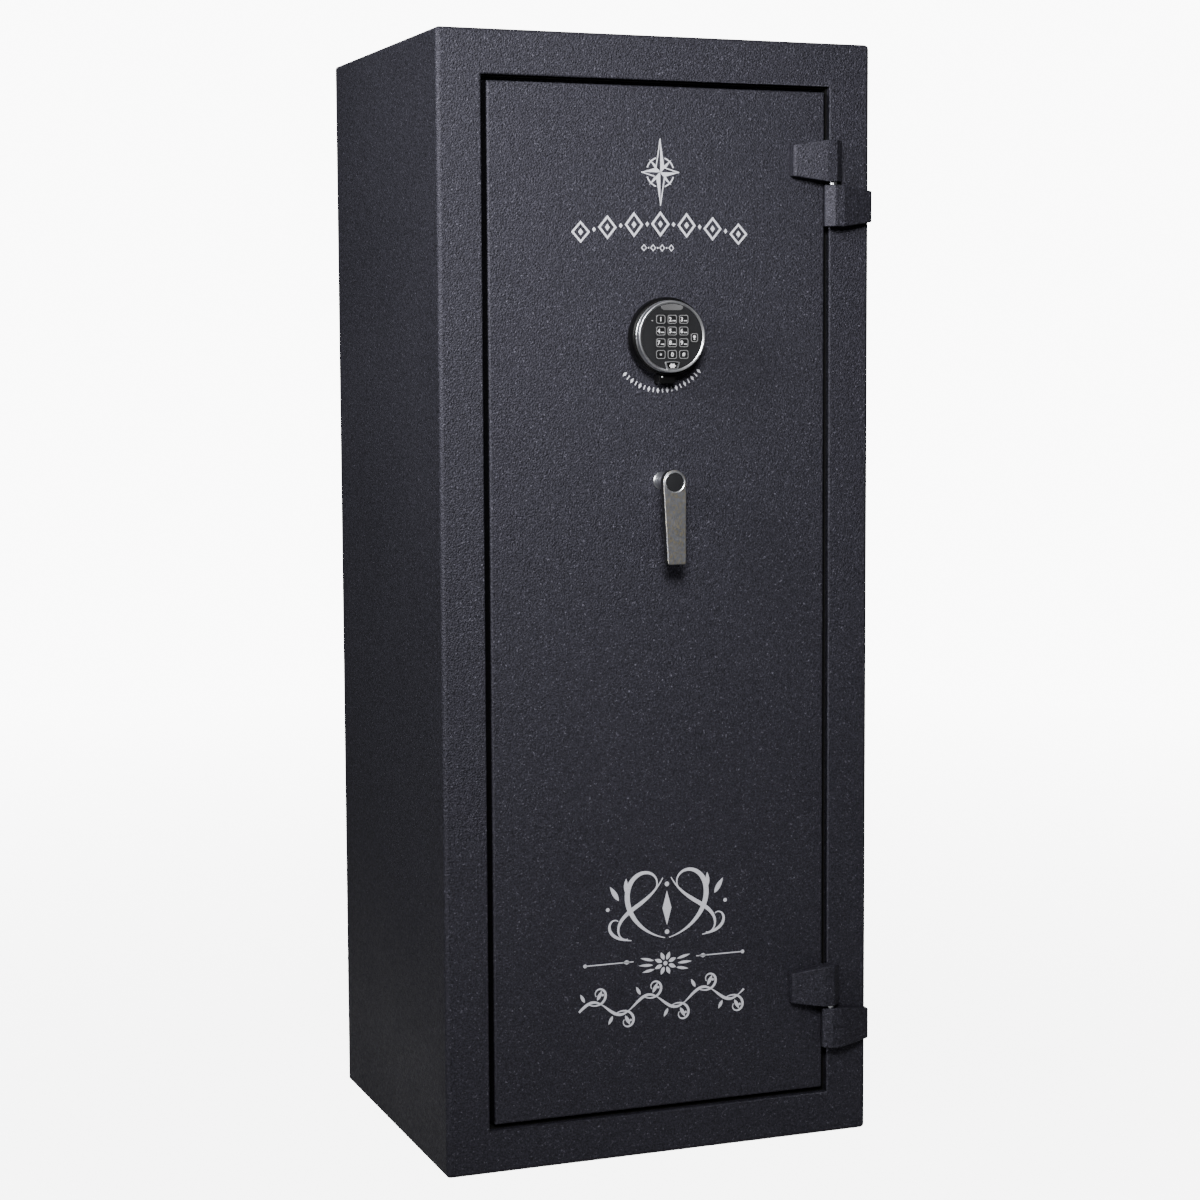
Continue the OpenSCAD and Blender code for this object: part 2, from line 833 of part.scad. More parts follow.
module handle_lever() {
    color("#a3a39f") difference() {
        translate([0, front - handle_out, handle_z]) rotate([-lever_tilt, 0, 0])
            translate([0, lever_t, 0]) rotate([90, 0, 0]) linear_extrude(lever_t) lever_outline();
        deep_bar(0, handle_z, head_r + 0.6, lever_t - handle_out, 1);
        deep_bar(0, handle_z, cap_r, -handle_out - 4, cap_depth - handle_out);
        deep_bar(0, handle_z, shaft_r, shaft_front, 1);
    }
}

module handle_cap() {
    color("#1c1d20") deep_bar(0, handle_z, cap_r, 1 - handle_out, cap_depth - handle_out);
}

module lock_bolt() {
    color("#b08d3c") deep_block(-bolt_w / 2, bolt_w / 2, bolt_depth, bolt_depth + bolt_thick, bolt_lo, bolt_hi);
}

left_side();
right_side();
top_plate();
floor_plate();
back_plate();
front_frame();
heat_seal();
fireboard_lining();
wall_liners();
floor_carpet();
shelf_divider();
shelves();
shelf_clips();
barrel_rest();
stock_rest();
cord_hole_plug();
hinge_frame_leaves();
hinge_pins();
hinge_bearings();
door_skin();
door_fireboard();
door_backing_plate();
hinge_door_leaves();
fixed_deadbars();
boltwork_housing();
guide_studs();
hard_plate();
lock_case();
spindle_bushing();
door_back_panel();
door_pockets();
keypad_housing();
keypad_bezel();
keypad_face();
keypad_light_window();
keypad_cable();
bolt_carriage();
locking_bars();
bolt_rack();
handle_lever();
handle_cap();
handle_hub();
handle_shaft();
handle_pinion();
lock_bolt();
battery_drawer();
battery();
for (i = [0:11])
    key(key_x(i), key_z(i), key_w);
key(light_key[0], light_key[1], light_key_w);  // key_light
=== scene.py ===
"""Gun safe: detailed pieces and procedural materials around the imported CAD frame.

Lengths are in millimetres until a mesh is made. "Out" is the distance in front of the body's front
face; a negative one lies inside the safe.
"""

import cmath
import math

import bmesh
import bpy
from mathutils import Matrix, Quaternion, Vector, noise


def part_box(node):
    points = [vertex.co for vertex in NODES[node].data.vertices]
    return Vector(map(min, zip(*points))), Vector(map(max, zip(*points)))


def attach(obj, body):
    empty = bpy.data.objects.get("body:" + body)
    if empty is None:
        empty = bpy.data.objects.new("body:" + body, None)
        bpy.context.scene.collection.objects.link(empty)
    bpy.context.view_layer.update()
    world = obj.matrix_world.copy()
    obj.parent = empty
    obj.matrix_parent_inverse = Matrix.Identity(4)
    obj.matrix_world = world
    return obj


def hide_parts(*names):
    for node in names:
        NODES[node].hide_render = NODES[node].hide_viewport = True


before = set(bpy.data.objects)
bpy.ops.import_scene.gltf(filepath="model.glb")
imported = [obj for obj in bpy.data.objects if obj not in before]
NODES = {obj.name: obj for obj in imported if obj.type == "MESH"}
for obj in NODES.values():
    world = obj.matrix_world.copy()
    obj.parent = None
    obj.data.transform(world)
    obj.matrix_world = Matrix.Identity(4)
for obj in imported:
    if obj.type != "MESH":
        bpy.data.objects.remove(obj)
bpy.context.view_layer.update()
MM = 0.001


def span(node):
    """Lowest and highest corner of a CAD node, in millimetres."""
    lo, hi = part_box(node)
    return Vector(lo) / MM, Vector(hi) / MM


FRONT = span("left_side")[0].y
BACK = span("left_side")[1].y
HALF_W = span("right_side")[1].x
TOP = span("top_plate")[1].z
STEEL = span("right_side")[1].x - span("right_side")[0].x
FLOOR_T = span("floor_plate")[1].z
DOOR_LO, DOOR_HI = span("door_skin")
FRAME_W = 60
FRAME_H = 58.8
JAMB = 35
STOP_W = 12
STOP_T = 3
KEYPAD_Z = (span("keypad_face")[0].z + span("keypad_face")[1].z) / 2
HANDLE_Z = (span("handle_hub")[0].z + span("handle_hub")[1].z) / 2
HINGE_X = (span("hinge_pins")[0].x + span("hinge_pins")[1].x) / 2
HINGE_OUT = 13
HINGE_GAPS = (185, 1321.5)
HINGE_GAP = 4
KNUCKLE_R = 12.6
LEAF_H = 56


# ---- materials ----

class Shader:
    """A Principled material with small helpers for its nodes."""

    def __init__(self, name, **values):
        self.material = bpy.data.materials.new(name)
        self.material.use_nodes = True
        self.tree = self.material.node_tree
        self.tree.nodes.clear()
        self.bsdf = self.add("ShaderNodeBsdfPrincipled")
        out = self.add("ShaderNodeOutputMaterial")
        self.put(out.inputs["Surface"], self.bsdf.outputs["BSDF"])
        self.place = self.add("ShaderNodeTexCoord").outputs["Object"]
        for key, value in values.items():
            self.put(self.bsdf.inputs[key.replace("_", " ").title().replace("Ior", "IOR")], value)

    def add(self, kind, **inputs):
        node = self.tree.nodes.new(kind)
        for key, value in inputs.items():
            self.put(node.inputs[key.replace("_", " ")], value)
        return node

    def put(self, socket, value):
        if isinstance(value, bpy.types.NodeSocket):
            self.tree.links.new(value, socket)
        else:
            socket.default_value = value

    def stretched(self, *scale):
        return self.add("ShaderNodeMapping", Vector=self.place, Scale=scale).outputs["Vector"]

    def noise(self, scale, detail=2.0, rough=0.55, distort=0.0, at=None):
        node = self.add("ShaderNodeTexNoise", Vector=at or self.place, Scale=scale, Detail=detail,
                        Roughness=rough, Distortion=distort)
        return node.outputs["Fac"]

    def cells(self, scale, smooth=None):
        node = self.add("ShaderNodeTexVoronoi", Vector=self.place, Scale=scale)
        if smooth is not None:
            node.feature = "SMOOTH_F1"
            node.inputs["Smoothness"].default_value = smooth
        return node.outputs["Distance"]

    def wave(self, scale, direction):
        node = self.add("ShaderNodeTexWave", Vector=self.place, Scale=scale, Distortion=0.4)
        node.bands_direction = direction
        return node.outputs["Fac"]

    def ramp(self, fac, *stops):
        node = self.add("ShaderNodeValToRGB", Fac=fac)
        points = node.color_ramp.elements
        while len(points) < len(stops):
            points.new(0.5)
        for point, (position, value) in zip(points, stops):
            point.position = position
            point.color = value if len(value) == 4 else (*value, 1)
        return node.outputs["Color"]

    def level(self, fac, low, high, at_low=0.0, at_high=1.0):
        """fac carried over from one range to another, without passing its ends."""
        return self.add("ShaderNodeMapRange", Value=fac, From_Min=at_low, From_Max=at_high, To_Min=low,
                        To_Max=high).outputs["Result"]

    def math(self, what, a, b):
        node = self.add("ShaderNodeMath")
        node.operation = what
        self.put(node.inputs[0], a)
        self.put(node.inputs[1], b)
        return node.outputs["Value"]

    def total(self, *terms):
        """Sum of values, each with its weight."""
        parts = [self.math("MULTIPLY", value, weight) for value, weight in terms]
        result = parts[0]
        for part in parts[1:]:
            result = self.math("ADD", result, part)
        return result

    def mix(self, fac, a, b):
        node = self.add("ShaderNodeMix")
        node.data_type = "RGBA"
        self.put(node.inputs["Factor"], fac)
        for socket, value in ((node.inputs[6], a), (node.inputs[7], b)):
            self.put(socket, value if isinstance(value, bpy.types.NodeSocket) else (*value, 1))
        return node.outputs[2]

    def bump(self, height, distance, strength):
        return self.add("ShaderNodeBump", Height=height, Distance=distance,
                        Strength=strength).outputs["Normal"]

    def shade(self, colour=None, rough=None, normal=None):
        for name, value in (("Base Color", colour), ("Roughness", rough), ("Normal", normal)):
            if value is not None:
                self.put(self.bsdf.inputs[name], value)
        return self.material


def powder_coat(name, gap=False):
    """Textured powder coat: pebbled skin, lighter grains and sparse flecks. With gap, painted shade:
    the coat turns black beyond the front face, standing in for the shadow on the edge of a shut door."""
    dark, light, fleck = (0.0012, 0.0012, 0.0016), (0.0098, 0.0096, 0.0131), (0.098, 0.096, 0.122)
    grain = 430.0
    s = Shader(name, Specular_IOR_Level=0.3, Specular_Tint=(0.86, 0.84, 1.0, 1))
    pebbles = s.cells(grain, 0.55)
    fine = s.noise(grain * 1.5, 3, 0.65)
    height = s.math("ADD", s.level(pebbles, 0.62, 0.0, 0.0, 0.9), s.math("MULTIPLY", fine, 0.6))
    slow = s.level(s.noise(3.1, 3, 0.5), 0.88, 1.12, 0.3, 0.7)
    bright = tuple(c * 2.1 for c in light)
    tone = s.ramp(s.noise(grain, 2, 0.6, 0.3), (0.3, dark), (0.5, light), (0.68, bright))
    crests = s.level(s.noise(grain * 0.8, 2, 0.7, 0.4), 0.0, 0.9, 0.62, 0.76)
    colour = s.mix(crests, tone, fleck)
    # Painted shade: the colour fades to near black with depth behind the front face, for the shadow in the
    # door gap.
    if gap:
        split = s.add("ShaderNodeSeparateXYZ", Vector=s.place)
        depth = s.level(split.outputs["Y"], 1.0, 0.06, FRONT * MM + 0.0035, FRONT * MM + 0.007)
        colour = s.mix(depth, (0.0006, 0.0006, 0.0007), colour)
    rough = s.level(s.noise(grain * 0.6, 2), 0.44, 0.62, 0.3, 0.7)
    s.put(s.bsdf.inputs["Roughness"], s.math("MULTIPLY", rough, slow))
    return s.shade(colour, None, s.bump(height, 0.0012, 0.85))


def metal(name, colour, dark, rough, spread, brush, tarnish=None, bump=0.00002, wear=40.0):
    """Bare or plated metal: fine brush marks, slow clouds of tone and patches of tarnish."""
    s = Shader(name, Metallic=1.0)
    grain = s.noise(1.0, 4, 0.7, at=s.stretched(*brush))
    clouds = s.noise(wear, 4, 0.6, 0.6)
    shade = s.ramp(clouds, (0.3, dark), (0.68, colour))
    if tarnish:
        shade = s.mix(s.level(s.noise(wear * 1.9, 3, 0.7, 0.8), 0.0, 0.8, 0.45, 0.66), shade, tarnish)
    lines = s.level(grain, rough - spread, rough + spread, 0.25, 0.75)
    return s.shade(shade, lines, s.bump(grain, bump, 0.6))


def plastic(name, dark, light, rough, grain=900.0, depth=0.00006, coat=0.0, shine=0.5):
    """Moulded plastic or rubber with a fine grain."""
    s = Shader(name, Coat_Weight=coat, Coat_Roughness=0.12, Specular_IOR_Level=shine)
    skin = s.noise(grain, 3, 0.6)
    tone = s.ramp(s.noise(26, 3), (0.3, dark), (0.72, light))
    return s.shade(tone, s.level(skin, rough - 0.08, rough + 0.1, 0.3, 0.7), s.bump(skin, depth, 0.5))


def carpet(name, dark, light, pile, depth):
    """Short needle-felt carpet: matted fibres, tufts, clumps and a patchy nap."""
    s = Shader(name, Sheen_Weight=0.12, Sheen_Roughness=0.6, Specular_IOR_Level=0.2)
    tufts = s.cells(pile)
    fibre = s.noise(pile * 1.9, 4, 0.75, 1.2)
    nap = s.noise(11, 4, 0.6, 0.5)
    clump = s.noise(pile * 0.42, 3, 0.7, 0.6)
    height = s.total((tufts, -0.6), (fibre, 0.6), (clump, 0.9))
    tone = s.ramp(s.total((clump, 0.75), (nap, 0.25)), (0.38, dark), (0.62, light))
    return s.shade(tone, s.level(fibre, 0.8, 1.0), s.bump(height, depth, 0.7))


def woven(name, dark, light, thread=1400.0, sheen=0.2):
    """Plain weave: two crossed sets of threads, each over and under the other."""
    s = Shader(name, Sheen_Weight=sheen, Sheen_Roughness=0.5, Specular_IOR_Level=0.25)
    across = s.wave(thread / 6.5, "X")
    along = s.wave(thread / 6.5, "Z")
    threads = s.math("MAXIMUM", across, along)
    fuzz = s.noise(thread, 3, 0.7)
    tone = s.ramp(s.total((threads, 0.6), (fuzz, 0.5)), (0.3, dark), (0.85, light))
    return s.shade(tone, s.level(fuzz, 0.72, 0.92), s.bump(threads, 0.00035, 0.6))


def board(name):
    """Gypsum fire board: chalky face with paper fibre and small pits."""
    s = Shader(name, Specular_IOR_Level=0.25)
    fibre = s.noise(1.0, 4, 0.7, at=s.stretched(500, 500, 60))
    tone = s.ramp(s.total((fibre, 0.5), (s.noise(30, 3), 0.5)), (0.3, (0.46, 0.42, 0.36)),
                  (0.7, (0.62, 0.59, 0.53)))
    return s.shade(tone, 0.9, s.bump(fibre, 0.0003, 0.5))


def printed(name, colour, shade):
    """Ink or foil printed over the coat, broken by the pebbled skin under it."""
    s = Shader(name, Specular_IOR_Level=0.5, Metallic=0.15)
    pebbles = s.cells(520, 0.6)
    grain = s.noise(900, 3, 0.7)
    tone = s.ramp(grain, (0.3, shade), (0.62, colour))
    return s.shade(tone, s.level(grain, 0.42, 0.62), s.bump(pebbles, 0.0004, 0.4))


M = {
    "powder_coat": powder_coat("powder_coat"),
    "satin_steel": metal("satin_steel", (0.42, 0.42, 0.43), (0.34, 0.34, 0.36), 0.36, 0.09,
                         (60, 60, 1400), wear=90.0),
    "polished_chrome": metal("polished_chrome", (0.78, 0.79, 0.82), (0.66, 0.67, 0.71), 0.2, 0.06,
                             (300, 300, 300), bump=0.000004),
    "satin_nickel": metal("satin_nickel", (0.44, 0.45, 0.5), (0.29, 0.3, 0.335), 0.34, 0.08,
                          (1900, 300, 260), tarnish=(0.5, 0.43, 0.27), bump=0.00004, wear=120.0),
    "black_plastic": plastic("black_plastic", (0.0008, 0.0008, 0.0009), (0.0018, 0.0018, 0.002), 0.42,
                             shine=0.12),
    "membrane": plastic("membrane", (0.0045, 0.0047, 0.0056), (0.007, 0.0072, 0.0085), 0.45, 1500, 0.00003,
                        shine=0.3),
    "key_rubber": plastic("key_rubber", (0.0016, 0.0016, 0.002), (0.003, 0.003, 0.0036), 0.42, 1300, 0.00003,
                          shine=0.3),
    "light_window": plastic("light_window", (0.06, 0.06, 0.062), (0.1, 0.1, 0.102), 0.3, 2200, 0.00012, 0.3),
    "carpet": carpet("carpet", (0.012, 0.0122, 0.0135), (0.056, 0.0565, 0.06), 620, 0.0014),
    "panel_fabric": carpet("panel_fabric", (0.011, 0.0112, 0.0125), (0.042, 0.0425, 0.045), 800,
                           0.0009),
    "pocket_fabric": woven("pocket_fabric", (0.0022, 0.0022, 0.0025), (0.01, 0.01, 0.0112), sheen=0.06),
    "fire_board": board("fire_board"),
    "seal": plastic("seal", (0.0012, 0.0012, 0.0012), (0.0025, 0.0025, 0.0025), 0.8, 700, 0.0002, shine=0.15),
    "zinc": metal("zinc", (0.5, 0.51, 0.52), (0.38, 0.39, 0.42), 0.34, 0.1, (700, 700, 700),
                  tarnish=(0.46, 0.44, 0.36), bump=0.00003, wear=60.0),
    "hardened_steel": metal("hardened_steel", (0.2, 0.2, 0.21), (0.12, 0.12, 0.135), 0.42, 0.1,
                            (300, 300, 300), tarnish=(0.13, 0.14, 0.19)),
    "brass": metal("brass", (0.66, 0.48, 0.2), (0.5, 0.35, 0.14), 0.3, 0.08, (600, 600, 900),
                   tarnish=(0.36, 0.26, 0.13)),
    "battery_label": plastic("battery_label", (0.06, 0.03, 0.008), (0.1, 0.05, 0.012), 0.35, 900, 0.00002),
}
# Door coat with painted shade on its edges behind the front face.
DOOR_COAT_GAP_SHADE = powder_coat("powder_coat_door", gap=True)
INK = printed("ornament_ink", (0.6, 0.6, 0.66), (0.4, 0.4, 0.44))
LEGEND = printed("key_legend", (0.66, 0.66, 0.68), (0.5, 0.5, 0.52))
OUTLINE = printed("key_outline", (0.2, 0.2, 0.207), (0.13, 0.13, 0.134))
SATIN = metal("satin_chrome", (0.76, 0.77, 0.8), (0.62, 0.63, 0.66), 0.31, 0.06, (500, 500, 500), wear=120.0)
# Painted shade: a darker copy of the lever's metal, for the lever's side faces.
LEVER_SIDE_SHADE = metal("lever_sides_painted_shade", (0.07, 0.07, 0.075), (0.035, 0.035, 0.038), 0.45, 0.1, (700, 700, 700),
             wear=200.0)
THREAD = woven("seam_thread", (0.04, 0.04, 0.042), (0.11, 0.11, 0.115), 2600.0)
BINDING = woven("binding_tape", (0.003, 0.003, 0.0034), (0.013, 0.013, 0.0145), 1800.0)


# ---- meshes ----

def at(x, out, z):
    """A point given by its distance in front of the front face."""
    return (x, FRONT - out, z)


def new_object(name, points, faces):
    mesh = bpy.data.meshes.new(name)
    mesh.from_pydata([tuple(c * MM for c in p) for p in points], [], faces)
    mesh.validate()
    obj = bpy.data.objects.new(name, mesh)
    bpy.context.scene.collection.objects.link(obj)
    return obj


def freeze(obj):
    """Turns what the modifiers make into the object's own mesh."""
    depsgraph = bpy.context.evaluated_depsgraph_get()
    mesh = bpy.data.meshes.new_from_object(obj.evaluated_get(depsgraph), depsgraph=depsgraph)
    obj.modifiers.clear()
    old, obj.data = obj.data, mesh
    bpy.data.meshes.remove(old)
    mesh.name = obj.name
    return obj


def cut(obj, cutters):
    for cutter in cutters:
        m = obj.modifiers.new("cut", "BOOLEAN")
        m.operation = "DIFFERENCE"
        m.solver = "EXACT"
        m.object = cutter
    freeze(obj)
    for cutter in cutters:
        bpy.data.objects.remove(cutter)
    return obj


def bevel(obj, width, segments=3, weighted=False):
    m = obj.modifiers.new("bevel", "BEVEL")
    m.width = width * MM
    m.segments = segments
    m.limit_method = "WEIGHT" if weighted else "ANGLE"
    m.angle_limit = math.radians(50)
    m.miter_outer = "MITER_ARC"
    return obj


def eased(obj, width, segments=3, weighted=False):
    """The object with its sharp edges rounded for good."""
    return freeze(bevel(obj, width, segments, weighted))


def finish_piece(obj, body, material, replaces=(), angle=38, slot=None):
    """Shading, material and ride for one piece; a material's name picks the material from the table."""
    if isinstance(material, str):
        slot, material = material, M[material]
    obj.data.shade_smooth()
    obj.data.set_sharp_from_angle(angle=math.radians(angle))
    normals = obj.modifiers.new("normals", "WEIGHTED_NORMAL")
    normals.keep_sharp = True
    normals.weight = 60
    obj.data.materials.clear()
    obj.data.materials.append(material)
    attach(obj, body)
    if replaces:
        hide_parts(*replaces)
    return obj


def outward(obj):
    """Turns the faces of a closed mesh so that they all look outwards."""
    bm = bmesh.new()
    bm.from_mesh(obj.data)
    bmesh.ops.recalc_face_normals(bm, faces=bm.faces)
    bm.to_mesh(obj.data)
    bm.free()
    return obj


def mark(obj, weight_of):
    """Bevel weight of each edge, from its two ends in millimetres."""
    weights = obj.data.attributes.new("bevel_weight_edge", "FLOAT", "EDGE")
    points = [v.co / MM for v in obj.data.vertices]
    for edge, item in zip(obj.data.edges, weights.data):
        item.value = weight_of(points[edge.vertices[0]], points[edge.vertices[1]])
    return obj


def rounded(points, radii, count=5, closed=True):
    """A path whose corners are replaced by arcs; radii is one number or one for each corner."""
    path = [complex(*p) for p in points]
    out = []
    for i, p in enumerate(path):
        r = radii[i] if isinstance(radii, (list, tuple)) else radii
        if r <= 0 or (not closed and i in (0, len(path) - 1)):
            out.append((p.real, p.imag))
            continue
        a = path[i - 1] - p
        b = path[(i + 1) % len(path)] - p
        half = abs(cmath.phase(b / a)) / 2
        if half > math.pi / 2 - 0.02:  # nearly straight
            out.append((p.real, p.imag))
            continue
        reach = min(r / math.tan(half), 0.48 * abs(a), 0.48 * abs(b))
        r = reach * math.tan(half)
        middle = a / abs(a) + b / abs(b)
        centre = p + middle / abs(middle) * r / math.sin(half)
        start = p + a / abs(a) * reach - centre
        turn = cmath.phase((p + b / abs(b) * reach - centre) / start)
        for k in range(count + 1):
            q = centre + start * cmath.exp(1j * turn * k / count)
            out.append((q.real, q.imag))
    return out


def between(count, size, closed=False, start=0):
    """Faces that join count loops, each of size points, one after another."""
    faces = []
    for i in range(count if closed else count - 1):
        a, b = start + size * i, start + size * ((i + 1) % count)
        faces += [(a + k, a + (k + 1) % size, b + (k + 1) % size, b + k) for k in range(size)]
    return faces


def lathe(name, profile, x, z, segments=96):
    """A closed body of revolution about an axis along Y; the profile is (radius, out), and may start
    and end on the axis."""
    points, faces, rows = [], [], []
    for r, out in profile:
        if r < 1e-6:
            rows.append([len(points)])
            points.append(at(x, out, z))
            continue
        rows.append(list(range(len(points), len(points) + segments)))
        for k in range(segments):
            a = 2 * math.pi * k / segments
            points.append(at(x + r * math.cos(a), out, z + r * math.sin(a)))
    ends_on_axis = len(rows[0]) == 1 and len(rows[-1]) == 1
    pairs = list(zip(rows, rows[1:])) + ([] if ends_on_axis else [(rows[-1], rows[0])])
    for a, b in pairs:
        for k in range(segments):
            n = (k + 1) % segments
            if len(a) == 1 and len(b) > 1:
                faces.append((a[0], b[k], b[n]))
            elif len(b) == 1 and len(a) > 1:
                faces.append((a[k], b[0], a[n]))
            elif len(a) > 1:
                faces.append((a[k], b[k], b[n], a[n]))
    return outward(new_object(name, points, faces))


def prism(name, outline, low, high, place):
    """A prism on a closed outline; place turns (u, v, w) into a point, with w at low and at high."""
    n = len(outline)
    points = [place(u, v, w) for w in (low, high) for u, v in outline]
    faces = [tuple(range(n))[::-1], tuple(range(n, 2 * n))] + between(2, n)
    return outward(new_object(name, points, faces))


def plate(name, outline, back, front):
    """A prism whose outline is seen from the front."""
    return prism(name, outline, back, front, lambda u, v, w: at(u, w, v))


def upright(name, outline, low, high):
    """A prism whose outline is seen from above."""
    return prism(name, outline, low, high, lambda u, v, w: (u, v, w))


def rect(x0, y0, x1, y1):
    return [(x0, y0), (x1, y0), (x1, y1), (x0, y1)]


def around(lo, hi, gap=0.0):
    """The outline of a box seen from the front, with a gap round it."""
    return rect(lo.x - gap, lo.z - gap, hi.x + gap, hi.z + gap)


def stepped(outline, pitch):
    """A closed outline with extra points, about one pitch apart."""
    path = []
    for (x0, y0), (x1, y1) in zip(outline, outline[1:] + outline[:1]):
        count = max(1, round(math.hypot(x1 - x0, y1 - y0) / pitch))
        path += [(x0 + (x1 - x0) * k / count, y0 + (y1 - y0) * k / count) for k in range(count)]
    return path


def circle(x, y, r, count):
    angles = (2 * math.pi * k / count for k in range(count))
    return [(x + r * math.cos(a), y + r * math.sin(a)) for a in angles]


def block(name, lo, hi):
    return upright(name, rect(lo[0], lo[1], hi[0], hi[1]), lo[2], hi[2])


def drum(name, x, z, r, back, front, segments=64):
    return lathe(name, [(0, back), (r, back), (r, front), (0, front)], x, z, segments)


def nested(name, rings, capped):
    """Rectangular rings joined in turn; each is (half width, z low, z high, depth behind the front).
    The last ring meets the first, or both are closed by a face."""
    points = [at(x, -depth, z) for half, z0, z1, depth in rings for x, z in rect(-half, z0, half, z1)]
    faces = between(len(rings), 4, not capped)
    if capped:
        faces += [(0, 1, 2, 3), tuple(range(len(points) - 4, len(points)))]
    return outward(new_object(name, points, faces))


def join(objects, name):
    """Several meshes as one object."""
    points, faces, start = [], [], 0
    for obj in objects:
        points += [tuple(v.co / MM) for v in obj.data.vertices]
        faces += [tuple(start + i for i in p.vertices) for p in obj.data.polygons]
        start = len(points)
    for obj in objects:
        bpy.data.objects.remove(obj)
    return new_object(name, points, faces)


# ---- body ----

def same(a, b):
    return abs(a - b) < 1e-3


def anchor_cutters(r):
    """Cutters for the four anchor holes in the floor."""
    return [upright("anchor", circle(x, y, r, 48), -2, 12) for x in (-180, 180) for y in (-140, 140)]


def make_body():
    """Sides, top, floor and front frame as the one welded and coated shell that they are."""
    ow, oz0, oz1 = HALF_W - FRAME_W, FRAME_H, TOP - FRAME_H
    inner = HALF_W - STEEL
    rings = [
        (HALF_W, 0, TOP, BACK - FRONT), (HALF_W, 0, TOP, 0), (ow, oz0, oz1, 0), (ow, oz0, oz1, JAMB - STOP_T),
        (ow - STOP_W, oz0 + STOP_W, oz1 - STOP_W, JAMB - STOP_T),
        (ow - STOP_W, oz0 + STOP_W, oz1 - STOP_W, JAMB),
        (ow + STEEL, oz0 - STEEL, oz1 + STEEL, JAMB), (ow + STEEL, oz0 - STEEL, oz1 + STEEL, STEEL),
        (inner, FLOOR_T, TOP - STEEL, STEEL), (inner, FLOOR_T, TOP - STEEL, BACK - FRONT),
    ]
    shell = nested("body_shell", rings, False)

    def weight(a, b):
        outer = all(same(abs(p.x), HALF_W) and (same(p.z, 0) or same(p.z, TOP)) for p in (a, b))
        mouth = all(same(abs(p.x), ow) for p in (a, b)) and all(same(p.y, FRONT) for p in (a, b))
        if outer:
            return 0.33 if same(a.y, BACK) and same(b.y, BACK) else 1.0
        return 0.4 if mouth else 0.0

    eased(mark(shell, weight), 6, 5, True)
    cut(shell, anchor_cutters(7))
    finish_piece(shell, "body", "powder_coat",
                 ("left_side", "right_side", "top_plate", "floor_plate", "front_frame"))


def make_weld_bead():
    """The ground seam between the back plate and the shell."""
    lo, hi = span("back_plate")
    points, path = [], stepped(around(lo, hi), 6)
    sides = 6
    for i, (x, z) in enumerate(path):
        size = 1.5 + 0.35 * noise.noise(Vector((i * 0.9, 0, 0)))
        inward = Vector((-x, 0, lo.z + (hi.z - lo.z) / 2 - z)).normalized()
        for across, out in circle(0, 0, 1, sides):
            points.append((x + inward.x * across * size, BACK + 0.55 * out, z + inward.z * across * size))
    bead = outward(new_object("back_seam_weld", points, between(len(path), sides, True)))
    finish_piece(bead, "body", "powder_coat", angle=80)


def leaf(name, foot, flip):
    """One hinge leaf above its gap; flip turns it over for the frame."""
    plan = [(-59, 0), (-59, 15), (-12.5, 24), (1.5, 24), (12.5, 15), (KNUCKLE_R, HINGE_OUT)]
    plan = rounded(plan, [0, 5.5, 5, 2.2, 1.5, 0], 6)
    arc = [(KNUCKLE_R * math.cos(a), HINGE_OUT + KNUCKLE_R * math.sin(a))
           for a in (-math.pi / 2 * k / 10 for k in range(1, 11))]
    plan += arc + [(-9, 0)]

    def place(u, v, w):
        inset = 7 * min(1.0, max(0.0, (-12.5 - u) / 46.5))
        z = foot + (inset if w < 0.5 else LEAF_H - inset) * (-1 if flip else 1)
        return at(HINGE_X + (-u if flip else u), v, z)

    return eased(prism(name, plan, 0, 1, place), 2.4, 5)


def make_hinges():
    for flip, name, body, node in ((False, "door_leaf", "door", "hinge_door_leaves"),
                                   (True, "frame_leaf", "body", "hinge_frame_leaves")):
        for z, end in zip(HINGE_GAPS, ("lower", "upper")):
            foot = z + (-HINGE_GAP if flip else HINGE_GAP) / 2
            finish_piece(leaf(f"{end}_hinge_{name}", foot, flip), body, "powder_coat", (node,), angle=50)


# ---- door ----

def make_door():
    half = DOOR_HI.x
    z0, z1 = DOOR_LO.z, DOOR_HI.z
    edge = DOOR_HI.y - FRONT
    skin = 4
    rings = [(half - skin, z0 + skin, z1 - skin, skin), (half - skin, z0 + skin, z1 - skin, edge),
             (half, z0, z1, edge), (half, z0, z1, 0)]
    door = nested("door_panel", rings, True)

    def weight(a, b):
        return 1.0 if all(same(abs(p.x), half) and not same(p.y, DOOR_HI.y) for p in (a, b)) else (
            0.6 if all(same(abs(p.x), half) for p in (a, b)) and not same(a.y, b.y) else 0.0)

    eased(mark(door, weight), 3, 4, True)
    cut(door, [drum("spindle", 0, HANDLE_Z, 8.5, -10, 5), drum("cable", 0, KEYPAD_Z, 6, -10, 5)])
    # The door's coat paints shade on its side edges inside the gap.
    finish_piece(door, "door", DOOR_COAT_GAP_SHADE, ("door_skin",), slot="powder_coat")


RING_R = 47.8
FACE_R = 43.4


